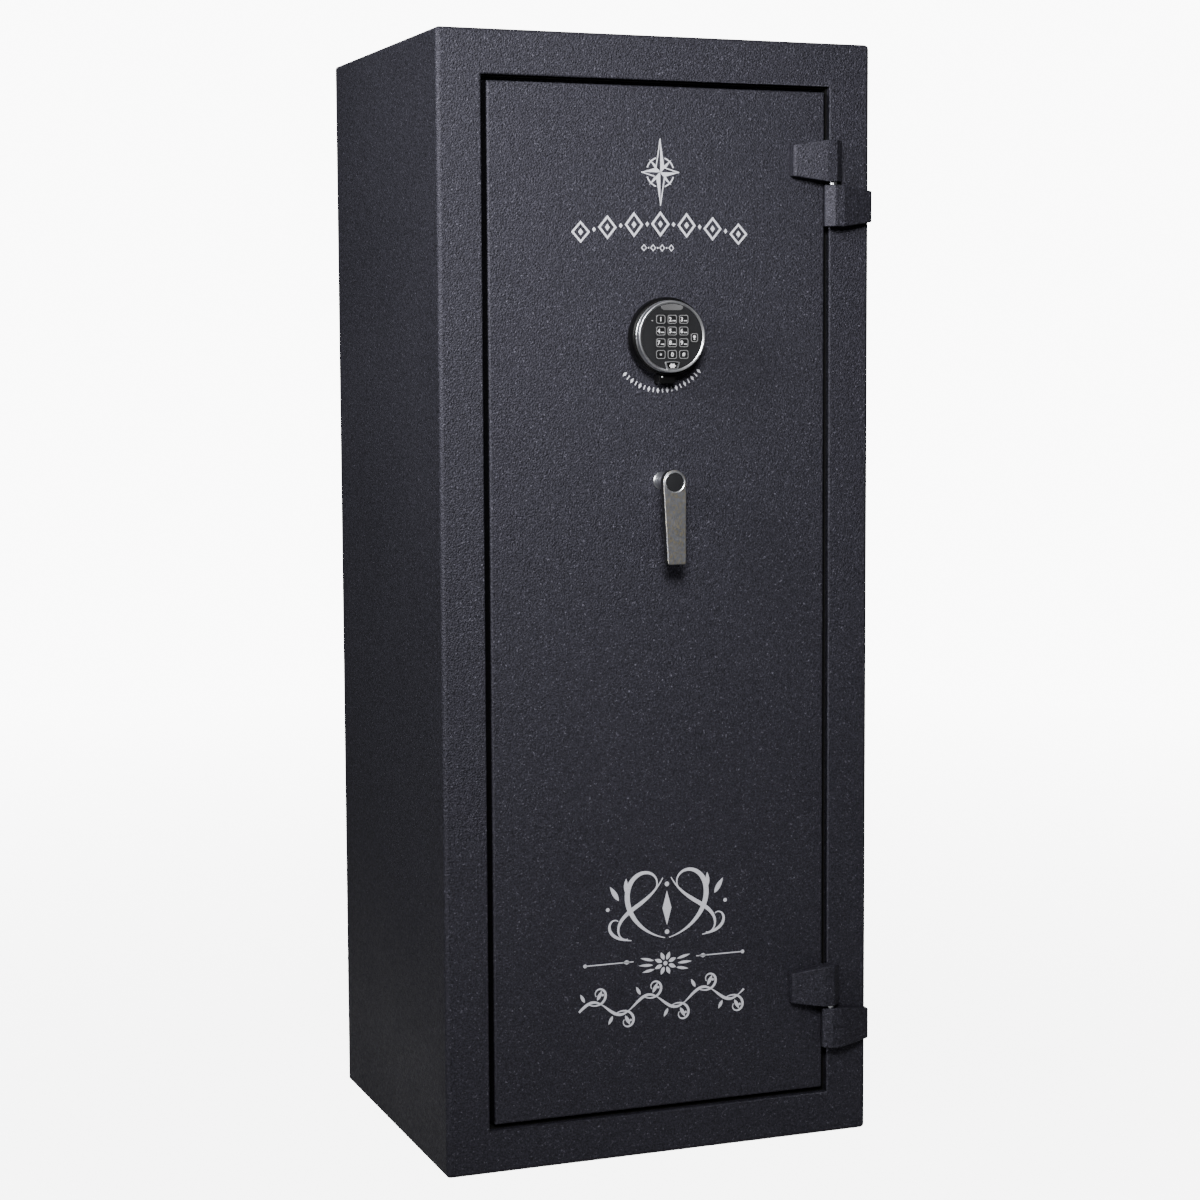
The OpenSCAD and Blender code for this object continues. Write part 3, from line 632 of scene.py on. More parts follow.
def make_keypad():
    """Black housing, chrome ring with its foot plate, face with key wells, window and status light."""
    profile = rounded([(0, 0), (46, 0), (46.5, 5), (49.5, 9), (52, 14), (52, 25), (51, 29.5), (50, 30.6),
                       (RING_R + 0.1, 30.6), (RING_R + 0.1, 30), (FACE_R, 30), (FACE_R, 35), (0, 35)],
                      [0, 0.8, 2, 2, 3, 3, 1.5, 0.6, 0.2, 0, 0, 0.3, 0], 4, False)
    shell = lathe("keypad_shell", profile, 0, KEYPAD_Z, 128)
    lo, hi = span("battery_drawer")
    gap = 0.4
    cut(shell, [plate("slot", rect(lo.x - gap, KEYPAD_Z - 63, hi.x + gap, hi.z + gap), 7 - gap, 29 + gap)])
    finish_piece(shell, "door", "black_plastic", ("keypad_housing",))

    step = rounded([(43.6, 30), (RING_R, 30), (RING_R, 32.2), (47.3, 32.8), (47.2, 39.6), (46.9, 41.6),
                    (46.2, 42), (44.9, 41.9), (44.4, 41.1), (43.6, 40.7)],
                   [0, 0, 0.5, 0.3, 2, 0.5, 0.4, 0.4, 0.4, 0.2], 3)
    ring = lathe("keypad_ring", step, 0, KEYPAD_Z, 160)
    foot = [(-7, -44.2), (7, -44.2), (9, -40.5), (11, -33.5), (4, -32.4), (-4, -32.4), (-11, -33.5),
            (-9, -40.5)]
    foot = rounded([(x, KEYPAD_Z + z) for x, z in foot], 1.0, 3)
    badge = eased(plate("badge", foot, 40.5, 42), 0.5, 2)
    ring = join([ring, badge], "keypad_ring")
    finish_piece(ring, "door", SATIN, ("keypad_bezel",), slot="polished_chrome")
    inner, middle = ([(x * u, KEYPAD_Z - 38.4 + (z - KEYPAD_Z + 39) * v) for x, z in foot]
                     for u, v in ((0.78, 0.72), (0.9, 0.86)))
    finish_piece(ring_plate("keypad_badge_rim", middle, inner, 41.9, 42.2), "door", SATIN)
    boss = eased(plate("keypad_badge_boss", inner, 41.8, 42.06), 0.1, 2)
    finish_piece(boss, "door", "black_plastic")
    star = []
    for k in range(12):
        a, reach = math.pi * k / 6, 4.3 if k % 2 == 0 else 2.7
        star.append((1.25 * reach * math.cos(a), KEYPAD_Z - 38.6 + 0.85 * reach * math.sin(a)))
    finish_piece(eased(plate("keypad_badge_star", rounded(star, 0.5, 3), 42, 42.6), 0.2, 2), "door", LEGEND)

    face = eased(drum("keypad_plate", 0, KEYPAD_Z, FACE_R, 35, 40.5, 160), 0.4, 2)
    cut(face, [plate("well", rounded(around(*span(name), 0.2), 3.2, 6), 37.1, 42) for name in KEYS])
    finish_piece(face, "door", "membrane", ("keypad_face",))

    reach = FACE_R - 0.6
    top = [(reach * math.sin(a), KEYPAD_Z + reach * math.cos(a))
           for a in (0.38 - 0.076 * k for k in range(11))]
    foot = [(-15, KEYPAD_Z + 36.2), (-11.5, KEYPAD_Z + 34.4), (11.5, KEYPAD_Z + 34.4), (15, KEYPAD_Z + 36.2)]
    lens = rounded(top + foot, [1.2] + [0] * 9 + [1.2, 2, 2, 2, 2], 4)
    window = eased(plate("keypad_window", lens, 40.3, 41.5), 0.4)
    light = lathe("light", [(0, 40.3), (1.15, 40.3), (1.15, 40.9), (0.8, 41.2), (0, 41.3)], -27.5,
                  KEYPAD_Z + 20.5, 24)
    finish_piece(join([window, light], "keypad_window"), "door", "light_window",
                 ("keypad_light_window",))


KEYS = ["key_1", "key_2", "key_3", "key_4", "key_5", "key_6", "key_7", "key_8", "key_9", "key_star", "key_0",
        "key_hash", "key_light"]
SIGNS = {"key_star": "*", "key_hash": "#"}


def glyph(text, x, z, size, back, front):
    """A numeral from Blender's built-in face, as a thin plate."""
    curve = bpy.data.curves.new("glyph", "FONT")
    curve.body = text
    curve.size = size * MM
    curve.align_x = "CENTER"
    curve.offset = 0.02 * size * MM
    curve.extrude = (front - back) / 2 * MM
    curve.resolution_u = 3
    obj = bpy.data.objects.new("glyph", curve)
    bpy.context.scene.collection.objects.link(obj)
    bpy.context.view_layer.update()
    depsgraph = bpy.context.evaluated_depsgraph_get()
    mesh = bpy.data.meshes.new_from_object(obj.evaluated_get(depsgraph), depsgraph=depsgraph)
    xs = [v.co.x / MM for v in mesh.vertices]
    ys = [v.co.y / MM for v in mesh.vertices]
    cx, cy = (min(xs) + max(xs)) / 2, (min(ys) + max(ys)) / 2
    middle = (front + back) / 2
    points = [at(x + v.co.x / MM - cx, middle + v.co.z / MM, z + v.co.y / MM - cy) for v in mesh.vertices]
    faces = [tuple(p.vertices) for p in mesh.polygons]
    bpy.data.objects.remove(obj)
    bpy.data.curves.remove(curve)
    bpy.data.meshes.remove(mesh)
    return new_object("glyph", points, faces)


def make_keys():
    """Pillowed keys with a printed outline, a numeral and, on the numbers 2 to 9, three dots."""
    for name in KEYS:
        lo, hi = span(name)
        cx, cz = (lo.x + hi.x) / 2, (lo.z + hi.z) / 2
        w, h = hi.x - lo.x, hi.z - lo.z
        front = FRONT - lo.y
        print_from, print_to = front - 0.05, front + 0.12
        cap = eased(plate(f"{name}_cap", rounded(around(lo, hi), 3, 6), FRONT - hi.y, front), 0.55, 4)
        finish_piece(cap, name, "key_rubber", (name,))
        edge_out = rounded(around(lo, hi, -0.6), 2.7, 6)
        edge_in = [(cx + (x - cx) * (w - 2.7) / (w - 1.2), cz + (z - cz) * (h - 2.7) / (h - 1.2))
                   for x, z in edge_out]
        finish_piece(ring_plate(f"{name}_outline", edge_out, edge_in, print_from, front + 0.1), name, OUTLINE)
        label = name.split("_")[1]
        parts = []
        if label == "light":
            shapes = [circle(cx, cz + 1.2, 1.9, 24), rect(cx - 0.9, cz - 3, cx + 0.9, cz - 1.2)]
        else:
            several = label in "23456789"
            size = 6.8 if name in SIGNS else 7.8
            parts.append(glyph(SIGNS.get(name, label), cx - (2.8 if several else 0), cz, size, print_from,
                               print_to))
            dots = [cx + 0.9 + 1.6 * k for k in range(3 if several else 0)]
            shapes = [rect(x - 0.6, cz - 2.5, x + 0.6, cz - 1.3) for x in dots]
        parts += [plate("mark", shape, print_from, print_to) for shape in shapes]
        finish_piece(join(parts, f"{name}_legend"), name, LEGEND)


def ring_faces(n, start=0):
    """Faces of a flat ring whose points go round outside and inside, at the back and at the front."""
    faces = []
    for i in range(n):
        for a, b in ((0, 1), (2, 3), (0, 2), (1, 3)):
            j = (i + 1) % n
            faces.append(tuple(start + k for k in (n * a + i, n * a + j, n * b + j, n * b + i)))
    return faces


def ring_plate(name, outer, inner, back, front):
    """A flat ring between two outlines of the same number of points."""
    n = len(outer)
    points = [at(x, out, z) for out in (back, front) for x, z in outer + inner]
    return outward(new_object(name, points, ring_faces(n)))


def make_drawer():
    """The battery drawer with its pull tab, a small screw in the tab and a row of grip ribs."""
    lo, hi = span("battery_drawer")
    tray = eased(block("tray", (lo.x, FRONT - 29, KEYPAD_Z - 48), (hi.x, FRONT - 7, hi.z)), 0.8)
    battery_lo, battery_hi = span("battery")
    gap = Vector((0.3, 0.3, 0.3))
    cut(tray, [block("space", battery_lo - gap, battery_hi + gap)])
    corners = [3.2, 3.2, 0.5, 0.5]
    tab = rounded(rect(-11.5, lo.z, 11.5, KEYPAD_Z - 43), corners)
    pull = eased(plate("pull", tab, 7, 24), 1)
    foot = rounded(rect(-11.5, lo.z, 11.5, KEYPAD_Z - 51.6), corners)
    lip = eased(plate("lip", foot, 4.1, 7.4), 0.6, 2)
    ribs = [plate("rib", rect(-8, z, 8, z + 0.7), 23.5, 24.35)
            for z in (lo.z + 1.6 + 1.7 * k for k in range(3))]
    finish_piece(join([tray, pull, lip] + ribs, "battery_tray"), "battery_drawer", "black_plastic",
                 ("battery_drawer",))
    screw = lathe("battery_tray_screw", rounded([(0, 23.5), (1.5, 23.5), (1.5, 24.2), (0, 24.9)],
                                                [0, 0, 0.4, 0], 4, False), -7, lo.z + 8.6, 24)
    finish_piece(screw, "battery_drawer", "zinc")


def make_battery():
    """Nine volt cell: wrapped case, rolled metal ends and the two snap terminals."""
    lo, hi = span("battery")
    case = block("battery_case", lo + Vector((0.1, 0.1, 1.4)), hi - Vector((0.1, 0.1, 3.4)))
    finish_piece(eased(case, 1.6, 4), "battery_drawer", "battery_label", ("battery",))
    ends = [eased(block("end", (lo.x + 0.3, lo.y + 0.3, z0), (hi.x - 0.3, hi.y - 0.3, z1)), 0.5, 2)
            for z0, z1 in ((lo.z, lo.z + 1.6), (hi.z - 3.6, hi.z - 2.6))]
    ends += [eased(upright("snap", circle(x, (lo.y + hi.y) / 2, r, 24), hi.z - 2.7, hi.z), 0.5, 2)
             for x, r in ((-6.4, 2.8), (6.4, 3.6))]
    finish_piece(join(ends, "battery_ends"), "battery_drawer", "zinc")


# ---- handle ----

HANDLE_OUT = 50
LEVER_T = 11
HEAD_R = 16.5
LEVER_LEN = 109
TIP_W = 26
TILT = math.radians(4)
CAP_R = 13.3


def make_handle():
    """Cast lever with painted shade on its sides, a bright ring round the cap and a turned hub."""
    r, half = 2.5, TIP_W / 2
    outline = [(HEAD_R * math.cos(a), HEAD_R * math.sin(a)) for a in (math.pi * k / 40 for k in range(41))]
    blade = [(-HEAD_R, 0), (-half, -LEVER_LEN), (half, -LEVER_LEN), (HEAD_R, 0)]
    outline += rounded(blade, [0, r, r, 0])[1:-1]

    def place(u, v, w):
        out = HANDLE_OUT - LEVER_T + w * math.cos(TILT)
        return at(u, out - v * math.sin(TILT), HANDLE_Z + v * math.cos(TILT))

    lever = eased(prism("lever", outline, 0, LEVER_T, place), 1.3, 4)
    cut(lever, [drum("recess", 0, HANDLE_Z, CAP_R, HANDLE_OUT - 4, HANDLE_OUT + 6, 96),
                drum("bore", 0, HANDLE_Z, 6, HANDLE_OUT - LEVER_T - 4, HANDLE_OUT - 6, 64)])
    finish_piece(lever, "handle", "satin_nickel", ("handle_lever",))
    lever.data.materials.append(LEVER_SIDE_SHADE)
    # Painted shade: faces that don't look forward take the darker copy of the metal.
    for polygon in lever.data.polygons:
        polygon.material_index = 0 if polygon.normal.y < -0.55 else 1

    def turned(name, profile, radii, closed=True, count=4):
        return lathe(name, rounded(profile, radii, count, closed), 0, HANDLE_Z)

    rim = CAP_R - 0.7
    ring = turned("lever_ring", [(rim, 46), (CAP_R + 0.02, 46), (CAP_R + 0.9, 49.9), (CAP_R + 1.5, 50.6),
                                 (CAP_R + 0.6, 51.3), (rim, 50.6)], [0, 0, 0, 0.5, 0.6, 0.5])
    finish_piece(ring, "handle", SATIN, slot="polished_chrome")
    cap = turned("lever_cap", [(0, 46), (CAP_R - 0.75, 46), (CAP_R - 0.75, 49.4), (0, 50)], [0, 0, 0.7, 0],
                 False, 5)
    finish_piece(cap, "handle", "membrane", ("handle_cap",))
    top = HANDLE_OUT - LEVER_T
    hub = turned("lever_hub", [(0, 0.6), (11.8, 0.6), (12, 2.2), (10.6, 4), (8.9, 9), (8, 16), (7.8, 26),
                               (15, top - 1), (15, top + 0.4), (0, top + 0.4)],
                 [0, 0.8, 1.2, 3, 5, 8, 10, 1.2, 0.5, 0], False, 6)
    finish_piece(hub, "handle", SATIN, ("handle_hub",), 50, "polished_chrome")


# ---- printed ornament ----

class Print:
    """Thin raised print on the door: strokes of changing width and filled shapes."""

    def __init__(self):
        self.points, self.faces = [], []
        self.low, self.height = 0.01, 0.14

    def fill(self, outline):
        n, s = len(outline), len(self.points)
        area = sum(a[0] * b[1] - b[0] * a[1] for a, b in zip(outline, outline[1:] + outline[:1]))
        if area < 0:
            outline = outline[::-1]
        self.points += [at(x, out, z) for out in (self.low, self.height) for x, z in outline]
        self.faces += [tuple(range(s, s + n))[::-1], tuple(range(s + n, s + 2 * n))] + between(2, n, start=s)

    def stroke(self, path, width):
        """width is a number, or a function of how far along the path, from 0 to 1."""
        self.height += 0.002
        left, right = [], []
        for i, (x, z) in enumerate(path):
            a = path[max(i - 1, 0)]
            b = path[min(i + 1, len(path) - 1)]
            dx, dz = b[0] - a[0], b[1] - a[1]
            size = math.hypot(dx, dz) or 1
            w = (width(i / (len(path) - 1)) if callable(width) else width) / 2
            left.append((x - dz / size * w, z + dx / size * w))
            right.append((x + dz / size * w, z - dx / size * w))
        s, n = len(self.points), len(path)
        for out in (self.low, self.height):
            self.points += [at(x, out, z) for x, z in left] + [at(x, out, z) for x, z in right]
        for i in range(n - 1):
            a, b = s + i, s + i + 1
            self.faces += [(a, b, b + n, a + n), (a + 2 * n, a + 3 * n, b + 3 * n, b + 2 * n),
                           (a, a + 2 * n, b + 2 * n, b), (a + n, b + n, b + 3 * n, a + 3 * n)]
        for i, turn in ((s, 1), (s + n - 1, -1)):
            self.faces.append((i, i + n, i + 3 * n, i + 2 * n)[::turn])

    def diamond(self, x, z, w, h):
        self.fill([(x - w, z), (x, z - h), (x + w, z), (x, z + h)])

    def open_diamond(self, x, z, w, h, line):
        self.faces += ring_faces(4, len(self.points))
        corners = [(-w, 0), (0, -h), (w, 0), (0, h)]
        self.points += [at(x + a * k, out, z + b * k) for out in (self.low, self.height)
                        for k in (1, 1 - line / min(w, h)) for a, b in corners]

    def dot(self, x, z, r):
        self.fill(circle(x, z, r, 20))

    def leaf(self, x, z, angle, length, width):
        half = [(s * length, width / 2 * math.sin(math.pi * s) ** 0.8 * (1 - 0.35 * s))
                for s in (k / 8 for k in range(9))]
        path = half + [(u, -v) for u, v in half[-2:0:-1]]
        c, d = math.cos(angle), math.sin(angle)
        self.fill([(x + u * c - v * d, z + u * d + v * c) for u, v in path])

    def make(self, name):
        obj = outward(new_object(name, self.points, self.faces))
        return finish_piece(obj, "door", INK)


def scroll(x, z, heading, length, bend, count=64):
    """Points of a curve that sets out at an angle; bend is its turning at each part of the way."""
    path = [(x, z)]
    for i in range(count):
        heading += bend((i + 0.5) / count) / count
        x += length / count * math.cos(heading)
        z += length / count * math.sin(heading)
        path.append((x, z))
    return path


def mirrored(path, x):
    return [(2 * x - u, v) for u, v in path]


def make_emblem():
    """Compass star, arched row of lozenges and a small row of dots."""
    p = Print()
    cx, cz = 0, 1332
    tips = [(0, 44), (27, 0), (0, -44), (-27, 0)]
    mids = [(6, 6), (6, -6), (-6, -6), (-6, 6)]
    for i, (tx, tz) in enumerate(tips):
        mx, mz = mids[i]
        nx, nz = mids[i - 1]
        p.fill([(cx, cz), (cx + tx, cz + tz), (cx + mx, cz + mz)])
        p.stroke([(cx + tx, cz + tz), (cx + nx, cz + nz), (cx + nx * 0.2, cz + nz * 0.2)], 1.5)
    for sx, sz in ((1, 1), (1, -1), (-1, -1), (-1, 1)):
        p.fill([(cx + sx * 7.5, cz + sz * 5), (cx + sx * 16, cz + sz * 17), (cx + sx * 5, cz + sz * 8.5)])
    ring = circle(cx, cz, 19.5, 80)
    for k in range(4):
        p.stroke(ring[20 * k + 4:20 * k + 17], 1.8)

    def band(x):
        """Middle and half height of the arched band."""
        s = (x / 127) ** 2
        return 1264 - 15 * s, 17 - 3 * s

    for i in range(7):
        x = (i - 3) * 37.6
        z, h = band(x)
        p.open_diamond(x, z, 13.2, h, 3.6)
        p.diamond(x, z, 3.4, 4.6)
        if i < 6:
            p.diamond(x + 18.8, band(x + 18.8)[0], 2.6, 3.4)
    for k in range(4):
        x = -4 + (k - 1.5) * 13
        p.open_diamond(x, 1232.5, 4.2, 4.8, 1.5)
        if k < 3:
            p.dot(x + 6.5, 1232.5, 1.1)
    p.make("ornament_emblem")


def make_arc():
    """Row of ticks and lozenges on an arc below the keypad."""
    p = Print()
    count = 19
    for k in range(count):
        a = math.radians(224 + (320 - 224) * k / (count - 1))
        c, s = math.cos(a), math.sin(a)

        def spot(r, side, c=c, s=s):
            return (r * c - side * s, KEYPAD_Z + r * s + side * c)

        if k % 2:
            p.fill([spot(68.2, -0.75), spot(68.2, 0.75), spot(74.4, 0.75), spot(74.4, -0.75)])
        else:
            p.fill([spot(67.2, 0), spot(71.3, 2.1), spot(75.4, 0), spot(71.3, -2.1)])
    p.make("ornament_arc")


def make_scrollwork():
    """Scrolls, a rule with a rosette, and a vine, at the foot of the door."""
    p = Print()
    cx = 7

    def swell(w, thin=1.3):
        return lambda s: thin + (w - thin) * math.sin(math.pi * min(1, max(0, s))) ** 1.6

    for side in (1, -1):
        def put(path, width):
            p.stroke(path if side == 1 else mirrored(path, cx), width)
        put(scroll(cx + 3, 300, math.radians(12), 172, lambda s: 2.2 + 13 * s ** 3), swell(7.2))
        put(scroll(cx + 6, 383, math.radians(-62), 118, lambda s: 1.5 - 15 * s ** 3), swell(5.6))
        put(scroll(cx + 52, 300, math.radians(6), 60, lambda s: 0.6 + 9.5 * s ** 2), swell(4.2))
        p.leaf(cx + side * 70, 356, math.radians(90 - side * 32), 24, 8)
        p.leaf(cx + side * 60, 366, math.radians(90 + side * 2), 20, 7)
        p.dot(cx + side * 86, 345, 2.6)
    p.diamond(cx, 341, 6.5, 24)
    for z in (374, 308):
        p.dot(cx, z, 3.2)

    rule_z = 270.6
    for far, near, lozenge in ((-112, -42, -52), (119, 50, 60)):
        p.stroke([(min(far, near), rule_z), (max(far, near), rule_z)], 1.5)
        p.dot(far, rule_z, 2.6)
        p.diamond(lozenge, rule_z, 6, 3.2)
    rx, rz = 4.5, 264.5
    for k in range(8):
        a = math.pi / 8 + k * math.pi / 4
        p.leaf(rx + 5.2 * math.cos(a), rz + 5.2 * math.sin(a), a, 11.5, 6.5)
    p.dot(rx, rz, 3.0)
    for side in (1, -1):
        for k, (u, lift, length) in enumerate(((17, 5, 20), (18, -1, 21), (16, -7, 18))):
            tilt = math.radians(14 - 12 * k)
            p.leaf(rx + side * u, rz + lift, tilt if side == 1 else math.pi - tilt, length, 4.6)

    def vine(s):
        return -121 + 242 * s, 208 + 10 * s + 11 * math.sin(6 * math.pi * s)

    p.stroke([vine(i / 160) for i in range(161)], lambda s: 1.4 + 2.6 * abs(math.sin(6 * math.pi * s + 0.6)))
    for k in range(6):
        x, z = vine((k + 0.5) / 6)
        up = 1 if k % 2 == 0 else -1
        p.stroke(scroll(x - 8, z - up * 1.5, math.radians(-up * 35), 62,
                        lambda t, up=up: up * (3 + 9 * t ** 2)), swell(3.4, 1.1))
        p.leaf(x + 6, z + up * 2, math.radians(up * 62), 15, 6)
        p.leaf(x - 12, z + up * 1, math.radians(up * 118), 13, 5.4)
        p.dot(x + 14, z + up * 9, 1.7)
    p.make("ornament_scrollwork")


# ---- interior ----

LINER_X = 289.5
LINER_Y = 235.5
LINER_Z = 1492.5
LINER_T = 3
CARPET_Z = 8


def slice_up(obj, pitch):
    """Cuts every face along planes one pitch apart, so that the surface can be worked."""
    bm = bmesh.new()
    bm.from_mesh(obj.data)
    points = [v.co for v in bm.verts]
    for axis in range(3):
        low, high = min(p[axis] for p in points), max(p[axis] for p in points)
        count = max(1, round((high - low) / (pitch * MM)))
        normal = [0, 0, 0]
        normal[axis] = 1
        planes = [low + (high - low) * k / count for k in range(1, count)]
        for plane in planes:
            place = [0, 0, 0]
            place[axis] = plane
            bmesh.ops.bisect_plane(bm, geom=bm.verts[:] + bm.edges[:] + bm.faces[:], dist=1e-6,
                                   plane_co=place, plane_no=normal)
    bm.to_mesh(obj.data)
    bm.free()
    return obj


def ruffle(obj, amount, scale, seed=0):
    """Sinks the surface by up to amount, in slow waves and finer creases."""
    bm = bmesh.new()
    bm.from_mesh(obj.data)
    bm.normal_update()
    for v in bm.verts:
        p = v.co / MM / scale + Vector((seed * 7.3, seed * 3.1, 0))
        wave = 0.5 + 0.5 * noise.noise(p)
        crease = 0.5 + 0.5 * noise.noise(p * 3.7)
        v.co -= v.normal * (amount * MM) * (0.7 * wave + 0.3 * crease)
    bm.to_mesh(obj.data)
    bm.free()
    return obj


def wrapped(obj, radius, pitch, amount, seed, replaces=()):
    """A board or foam block wrapped in carpet."""
    ruffle(slice_up(eased(obj, radius, 4), pitch), amount, 45, seed)
    finish_piece(obj, "body", "carpet", replaces, 60)


def make_liners():
    """Carpet glued to the walls; on each side it turns over the front edge of the fire board."""
    y0 = span("wall_liners")[0].y
    flap = span("wall_liners")[1].x
    t = LINER_T
    wall = LINER_X + t - 0.2
    for side, word in ((-1, "left"), (1, "right")):
        outline = [(LINER_X, y0), (flap - 0.3, y0), (flap - 0.3, y0 + t), (wall, y0 + t), (wall, LINER_Y),
                   (LINER_X, LINER_Y)]
        outline = rounded([(side * x, y) for x, y in outline], [2.2, 1, 1, 0, 0.6, 0.6], 4)
        liner = upright(f"{word}_liner", outline, CARPET_Z + 0.2, LINER_Z - 0.2)
        ruffle(slice_up(liner, 16), 0.5, 60, 2 + side)
        finish_piece(liner, "body", "carpet", ("wall_liners",), angle=60)
    half = LINER_X + 2
    ceiling = block("ceiling_liner", (-half, y0, LINER_Z + 0.05), (half, LINER_Y - 0.05, LINER_Z + t - 0.1))
    wrapped(ceiling, 0.7, 18, 0.4, 4)
    back = eased(block("back_liner", (-half, LINER_Y + 0.05, CARPET_Z + 0.2),
                       (half, LINER_Y + t - 0.1, LINER_Z - 0.05)), 0.7, 2)
    lo, hi = span("cord_hole_plug")
    x, z = (lo.x + hi.x) / 2, (lo.z + hi.z) / 2
    cut(back, [drum("hole", x, z, 19.2, FRONT - LINER_Y - 8, FRONT - LINER_Y + 4)])
    ruffle(slice_up(back, 18), 0.4, 60, 5)
    finish_piece(back, "body", "carpet", angle=60)


def make_floor_carpet():
    lo, hi = span("floor_carpet")
    piece = block("floor_carpet_piece", (lo.x + 0.2, lo.y, lo.z + 0.05), (hi.x - 0.2, hi.y - 0.2, hi.z))
    eased(piece, 1.2)
    cut(piece, anchor_cutters(12))
    ruffle(slice_up(piece, 14), 0.5, 50, 6)
    finish_piece(piece, "body", "carpet", ("floor_carpet",), angle=60)


def make_shelving():
    """Shelves, divider, barrel rest and stock rest, each wrapped in carpet."""
    lo, hi = span("shelf_divider")
    wrapped(block("divider_board", lo + Vector((0, 0, 0.1)), hi - Vector((0, 0.3, 0.3))), 2.6, 12, 0.5, 7,
            ("shelf_divider",))
    low, high = span("shelves")
    for i, z in enumerate((300, 550, 800, 1050)):
        shelf = block(f"shelf_board_{i + 1}", (hi.x + 0.5, low.y, z), (high.x, high.y, z + 12))
        wrapped(shelf, 2.6, 12, 0.5, 8 + i, ("shelves",))
    top = block("top_shelf_board", (low.x, low.y, 1302.1), (high.x, high.y, 1314))
    wrapped(top, 2.6, 14, 0.5, 13, ("shelves",))
    lo, hi = span("stock_rest")
    stock = block("stock_rest_foam", lo + Vector((0.2, 0, 0.1)), hi - Vector((0, 0.3, 0)))
    wrapped(stock, 5, 10, 0.8, 14, ("stock_rest",))

    lo, hi = span("barrel_rest")
    edge, r, mouth = hi.x, 14, 12
    start = math.asin(mouth / r)
    sweep = 2 * math.pi - 2 * start
    outline, radii = [(lo.x + 0.2, lo.y), (edge, lo.y)], [2, 4]
    for y in (-82 + 64 * i for i in range(5)):
        notch = [(edge - r + r * math.cos(a), y + r * math.sin(a))
                 for a in (-start - sweep * k / 18 for k in range(19))]
        outline += [(edge, y - mouth), *notch, (edge, y + mouth)]
        radii += [3] + [0] * len(notch) + [3]
    outline += [(edge, hi.y - 0.3), (lo.x + 0.2, hi.y - 0.3)]
    radii += [4, 2]
    rest = eased(upright("barrel_rest_foam", rounded(outline, radii, 4), lo.z, hi.z), 1.8)
    ruffle(slice_up(rest, 10), 0.4, 30, 15)
    finish_piece(rest, "body", "carpet", ("barrel_rest",), angle=60)


def relief(name, xs, zs, under, over):
    """A closed skin on a grid: under(x, z) and over(x, z) are its two faces' depths behind the front."""
    points = [at(x, -depth(x, z), z) for depth in (under, over) for z in zs for x in xs]
    w, n = len(xs), len(xs) * len(zs)
    faces = []
    for j in range(len(zs) - 1):
        for i in range(w - 1):
            a = j * w + i
            faces += [(a, a + 1, a + w + 1, a + w), (n + a, n + a + w, n + a + w + 1, n + a + 1)]
    last = len(zs) - 1
    rim = [*range(w), *(j * w + w - 1 for j in range(1, last + 1)),
           *(last * w + i for i in range(w - 2, -1, -1)), *(j * w for j in range(last - 1, 0, -1))]
    for a, b in zip(rim, rim[1:] + rim[:1]):
        faces.append((a, n + a, n + b, b))
    return outward(new_object(name, points, faces))


def spaced(low, high, pitch, fine, reach):
    """Grid lines from low to high, closer together within reach of both ends."""
    count = max(1, round(reach / fine))
    ends = [reach * k / count for k in range(count)]
    inner = max(1, round((high - low - 2 * reach) / pitch))
    middle = [low + reach + (high - low - 2 * reach) * k / inner for k in range(inner + 1)]
    return [low + e for e in ends] + middle + [high - e for e in reversed(ends)]


def tube(name, path, r):
    """A round cord along a closed path of points."""
    n, sides, points = len(path), 10, []
    for i, p in enumerate(path):
        before, after = path[(i - 1) % n], path[(i + 1) % n]
        along = (Vector(after) - Vector(before)).normalized()
        first = along.cross(Vector((0, 1, 0))).normalized()
        second = along.cross(first)
        points += [tuple(Vector(p) + first * u + second * v) for u, v in circle(0, 0, r, sides)]
    return outward(new_object(name, points, between(n, sides, True)))


def stitches(name, rows, r):
    """Thread stitches, half sunk, along rows; a row is (start, end, depth), with depth(x, z)."""
    length, gap, sides = 3.4, 1.6, 6
    points, faces = [], []
    for start, end, depth in rows:
        start, end = Vector(start), Vector(end)
        along = (end - start).normalized()
        across = Vector((-along.y, along.x))
        count = int((end - start).length / (length + gap))
        first = ((end - start).length - count * (length + gap) + gap) / 2
        for k in range(count):
            s0 = first + k * (length + gap)
            base = len(points)
            for share, size in ((0.0, 0.15), (0.2, 0.85), (0.5, 1.0), (0.8, 0.85), (1.0, 0.15)):
                c = start + along * (s0 + share * length)
                d = depth(c.x, c.y) + (0.3 if 0.1 < share < 0.9 else 0.0)
                points += [at(c.x + across.x * u, -(d + v), c.y + across.y * u)
                           for u, v in circle(0, 0, r * size, sides)]
            faces += between(5, sides, start=base)
            faces += [tuple(range(a, a + sides)) for a in (base, base + 4 * sides)]
    return outward(new_object(name, points, faces))


POCKETS = ((180, 2), (480, 3), (780, 4), (1080, 3))
POCKET_X = (-185, 196)
POCKET_H = 220


